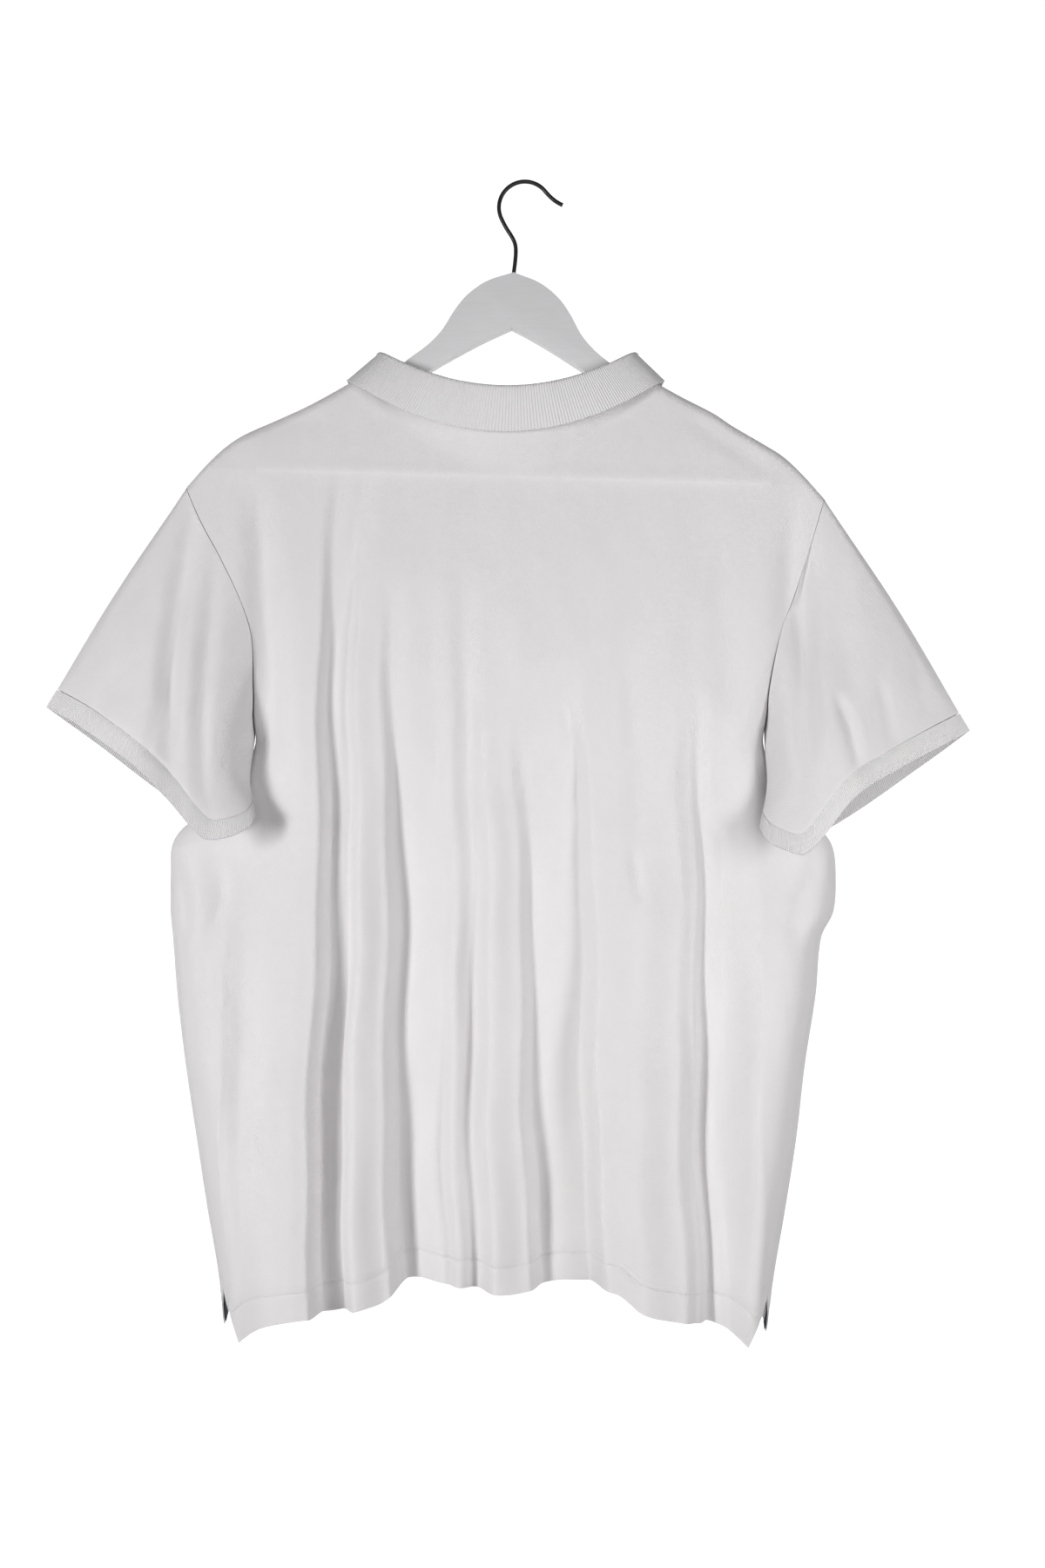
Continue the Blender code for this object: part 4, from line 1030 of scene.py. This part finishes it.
navy.links.new(navy_tone.outputs["Color"], navy_shader.inputs["Base Color"])
navy.links.new(navy_weave.outputs["Fac"], navy_bump.inputs["Height"])
navy.links.new(navy_bump.outputs["Normal"], navy_shader.inputs["Normal"])


def off_panel(face, across, share, out):
    """A point of a panel moved `out` of its wall, square to it."""
    here = Vector(panel_point(face, across, share))
    step = 0.004 if across < 0.99 else -0.004
    up = 0.003 if share < 0.99 else -0.003
    along = (Vector(panel_point(face, across + step, share)) - here) * math.copysign(1, step)
    upward = (Vector(panel_point(face, across, share + up)) - here) * math.copysign(1, up)
    normal = along.cross(upward).normalized()
    outward = Vector(body_point(face, across, here.z, 1.0)) - Vector(body_point(face, across, here.z))
    if normal.dot(outward) < 0:
        normal.negate()
    return here + normal * out


def share_at(face, across, drop):
    """How far up a panel's column a drop lies."""
    left = across < 0
    top_x = CENTRE_X + across * edge_run(face, left, tip_drop(left))
    hem = hem_drop(face, across)
    return (hem - drop) / (hem - top_edge(face, top_x)[2])


def tape_spot(face, across_from, across_to, share_from, share_to):
    """Placing for a tape on a panel's inner face, between two places across and two heights."""
    def place(column, row):
        across = mix(across_from, across_to, column)
        x, y, drop = off_panel(face, across, mix(share_from(across), share_to(across), row), TAPE_UNDER)
        return x, y, drop, across * TAPE_CUT, -drop
    return place


neck_spot = tape_spot(BACK, *NECK_TAPE_ACROSS, lambda _: NECK_TAPE_SHARE[0], lambda _: NECK_TAPE_SHARE[1])
neck_strip = cloth_piece("neck_strip", 90, 4, neck_spot, TAPE_WALL)
neck_strip.data.materials.append(navy_tape)
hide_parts("neck_tape")

# The two side vents: where each ends above, and the lengths in metres that its tapes are cut to
VENT_TAPE_COLUMNS = ("side_name", "side", "apex", "back_length", "front_length")
for vent in named_rows(VENT_TAPE_COLUMNS, (("left", -1, VENT_LEFT, 0.038975, 0.045),
                                           ("right", 1, VENT_RIGHT, 0.029025, 0.045))):
    for face_name, face in (("back", BACK), ("front", FRONT)):
        vent_spot = tape_spot(face, vent["side"] * VENT_OUTER, vent["side"] * VENT_INNER, lambda _: VENT_FOOT,
                              lambda across, face=face, apex=vent["apex"]: share_at(face, across, apex))
        strip = cloth_piece(f"vent_strip_{vent['side_name']}_{face_name}", 5, 14, vent_spot, TAPE_WALL)
        strip.data.materials.append(navy_tape)
        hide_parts(f"vent_tape_{vent['side_name']}_{face_name}")


# ---- The placket: two folded strips of pique down the centre front, lapped over the slit and sewn
# to its edges. The upper strip lies outside, where the buttons show, and the lower one inside.
PLACKET_HALF, PLACKET_FOOT, PLACKET_TOP = 17.5, 405.0, 0.9965
PLACKET_WALL, PLACKET_OFF = 1.4, 1.85
PLACKET_LEVEL = 300.0               # the drop at which its width is measured across the front


def placket_spot(out):
    """Placing for a placket strip, `out` from the front's wall."""
    def place(column, row):
        run = mix(-PLACKET_HALF, PLACKET_HALF, column)
        across = -run / edge_run(FRONT, run > 0, PLACKET_LEVEL)
        share = mix(share_at(FRONT, across, PLACKET_FOOT), PLACKET_TOP, row)
        x, y, drop = off_panel(FRONT, across, share, out)
        return x, y, drop, run, -drop
    return place


for name, node, out in (("placket_top", "placket_upper", PLACKET_OFF),
                        ("placket_below", "placket_under", -PLACKET_OFF)):
    strip = cloth_piece(name, 12, 60, placket_spot(out), PLACKET_WALL)
    strip.data.materials.append(white_pique)
    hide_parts(node)


# ---- The buttons: three small white shirt buttons with a raised rim, pressed from resin.
# Each is sewn on through four holes, where the thread stands up a little.
white_resin, resin_shader = clouded("white button", 0.28, 300, (0.76, 0.75, 0.72), (0.88, 0.87, 0.85))
resin_shader.inputs["Subsurface Weight"].default_value = 0.1
resin_shader.inputs["Subsurface Scale"].default_value = 0.001

BUTTON_DROPS = (276, 322, 368)
BUTTON_SEAT = 2.9                   # from the front's wall to the button's underside
# Half the button's section, from the well's middle over the rim to the underside: radius and height
BUTTON_SECTION = (
    (0.0, 1.1), (2.6, 1.1), (3.3, 1.5), (4.0, 2.0), (4.9, 2.1), (5.4, 1.6), (5.5, 1.0), (5.0, 0.2),
    (0.0, 0.0),
)
for number, drop in enumerate(BUTTON_DROPS, start=1):
    share = share_at(FRONT, 0.0, drop)
    seat = off_panel(FRONT, 0.0, share, BUTTON_SEAT)
    facing = (off_panel(FRONT, 0.0, share, BUTTON_SEAT + 1.1) - seat).normalized()
    lean = math.atan2(-facing.z, facing.y)
    bm = bmesh.new()
    rim = [bm.verts.new((radius * MM, 0, height * MM)) for radius, height in BUTTON_SECTION]
    edges = [bm.edges.new(pair) for pair in zip(rim, rim[1:])]
    bmesh.ops.spin(bm, geom=rim + edges, cent=(0, 0, 0), axis=(0, 0, 1), angle=2 * math.pi, steps=40,
                   use_merge=True)
    bmesh.ops.remove_doubles(bm, verts=bm.verts, dist=0.01 * MM)
    bmesh.ops.recalc_face_normals(bm, faces=bm.faces)
    for hole_x, hole_y in ((1, 1), (1, -1), (-1, 1), (-1, -1)):
        thread = bmesh.ops.create_cone(bm, cap_ends=True, segments=10, radius1=0.42 * MM, radius2=0.3 * MM,
                                       depth=0.5 * MM)["verts"]
        bmesh.ops.translate(bm, vec=(hole_x * MM, hole_y * MM, 1.2 * MM), verts=thread)
    bmesh.ops.rotate(bm, cent=(0, 0, 0), verts=bm.verts, matrix=Matrix.Rotation(-math.pi / 2 + lean, 3, "X"))
    bmesh.ops.translate(bm, vec=(seat.x * MM, seat.y * MM, -seat.z * MM), verts=bm.verts)
    button_mesh = bpy.data.meshes.new(f"shirt_button_{number}")
    bm.to_mesh(button_mesh)
    bm.free()
    button_mesh.shade_smooth()
    button_mesh.set_sharp_from_angle(angle=math.radians(50))
    button = bpy.data.objects.new(f"shirt_button_{number}", button_mesh)
    scene.collection.objects.link(button)
    button_mesh.materials.append(white_resin)
    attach(button, "root")
    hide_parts(f"button_{number}")


# ---- The sewing: white thread in short stitches, lying on the cloth's outer face.
# Two rows run round the turned hem, and one up beside each vent's edge.
STITCH_LONG, STITCH_GAP, THREAD = 2.6, 0.9, 0.24

white_thread, _ = clouded("white thread", 0.7, 900, (0.66, 0.65, 0.65), (0.80, 0.79, 0.79))


def sew(name, lines):
    """Stitches along each line of points, all in one mesh."""
    bm = bmesh.new()
    for line in lines:
        ahead = 0.0
        for a, b in zip(line, line[1:]):
            length = (b - a).length
            while ahead < length:
                middle = a.lerp(b, ahead / length) * MM
                heading = (b - a).normalized()
                heading = Vector((heading.x, heading.y, -heading.z))
                stitch = bmesh.ops.create_icosphere(bm, subdivisions=1, radius=1.0)["verts"]
                bmesh.ops.scale(bm, vec=(STITCH_LONG / 2 * MM, THREAD * MM, THREAD * MM), verts=stitch)
                turned = heading.to_track_quat("X", "Z").to_matrix()
                bmesh.ops.rotate(bm, cent=(0, 0, 0), matrix=turned, verts=stitch)
                bmesh.ops.translate(bm, vec=(middle.x, middle.y, -middle.z), verts=stitch)
                ahead += STITCH_LONG + STITCH_GAP
            ahead -= length
    mesh = bpy.data.meshes.new(name)
    bm.to_mesh(mesh)
    bm.free()
    mesh.shade_smooth()
    sewing = bpy.data.objects.new(name, mesh)
    scene.collection.objects.link(sewing)
    mesh.materials.append(white_thread)
    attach(sewing, "root")


SURFACE = CLOTH_WALL / 2 + 0.05
HEM_REACH, HEM_STEPS, HEM_ROW_GAP = 0.97, 160, 5.0
VENT_ROW, VENT_ROW_FOOT, VENT_STEP, VENT_PAST = 0.955, 944.0, 3.0, 6
for face_name, face in (("back", BACK), ("front", FRONT)):
    rows = []
    for offset in (0.0, HEM_ROW_GAP):
        row = []
        for step in range(HEM_STEPS + 1):
            across = HEM_REACH * (2 * step / HEM_STEPS - 1)
            height = share_at(face, across, hem_drop(face, across) - HEM_TURN - offset)
            row.append(off_panel(face, across, height, SURFACE))
        rows.append(row)
    for side in (-1, 1):
        apex = VENT_LEFT if side < 0 else VENT_RIGHT
        row = []
        for step in range(int((VENT_ROW_FOOT - apex) / VENT_STEP) + VENT_PAST):
            height = share_at(face, side * VENT_ROW, VENT_ROW_FOOT - VENT_STEP * step)
            row.append(off_panel(face, side * VENT_ROW, height, SURFACE))
        rows.append(row)
    sew(f"hem_sewing_{face_name}", rows)
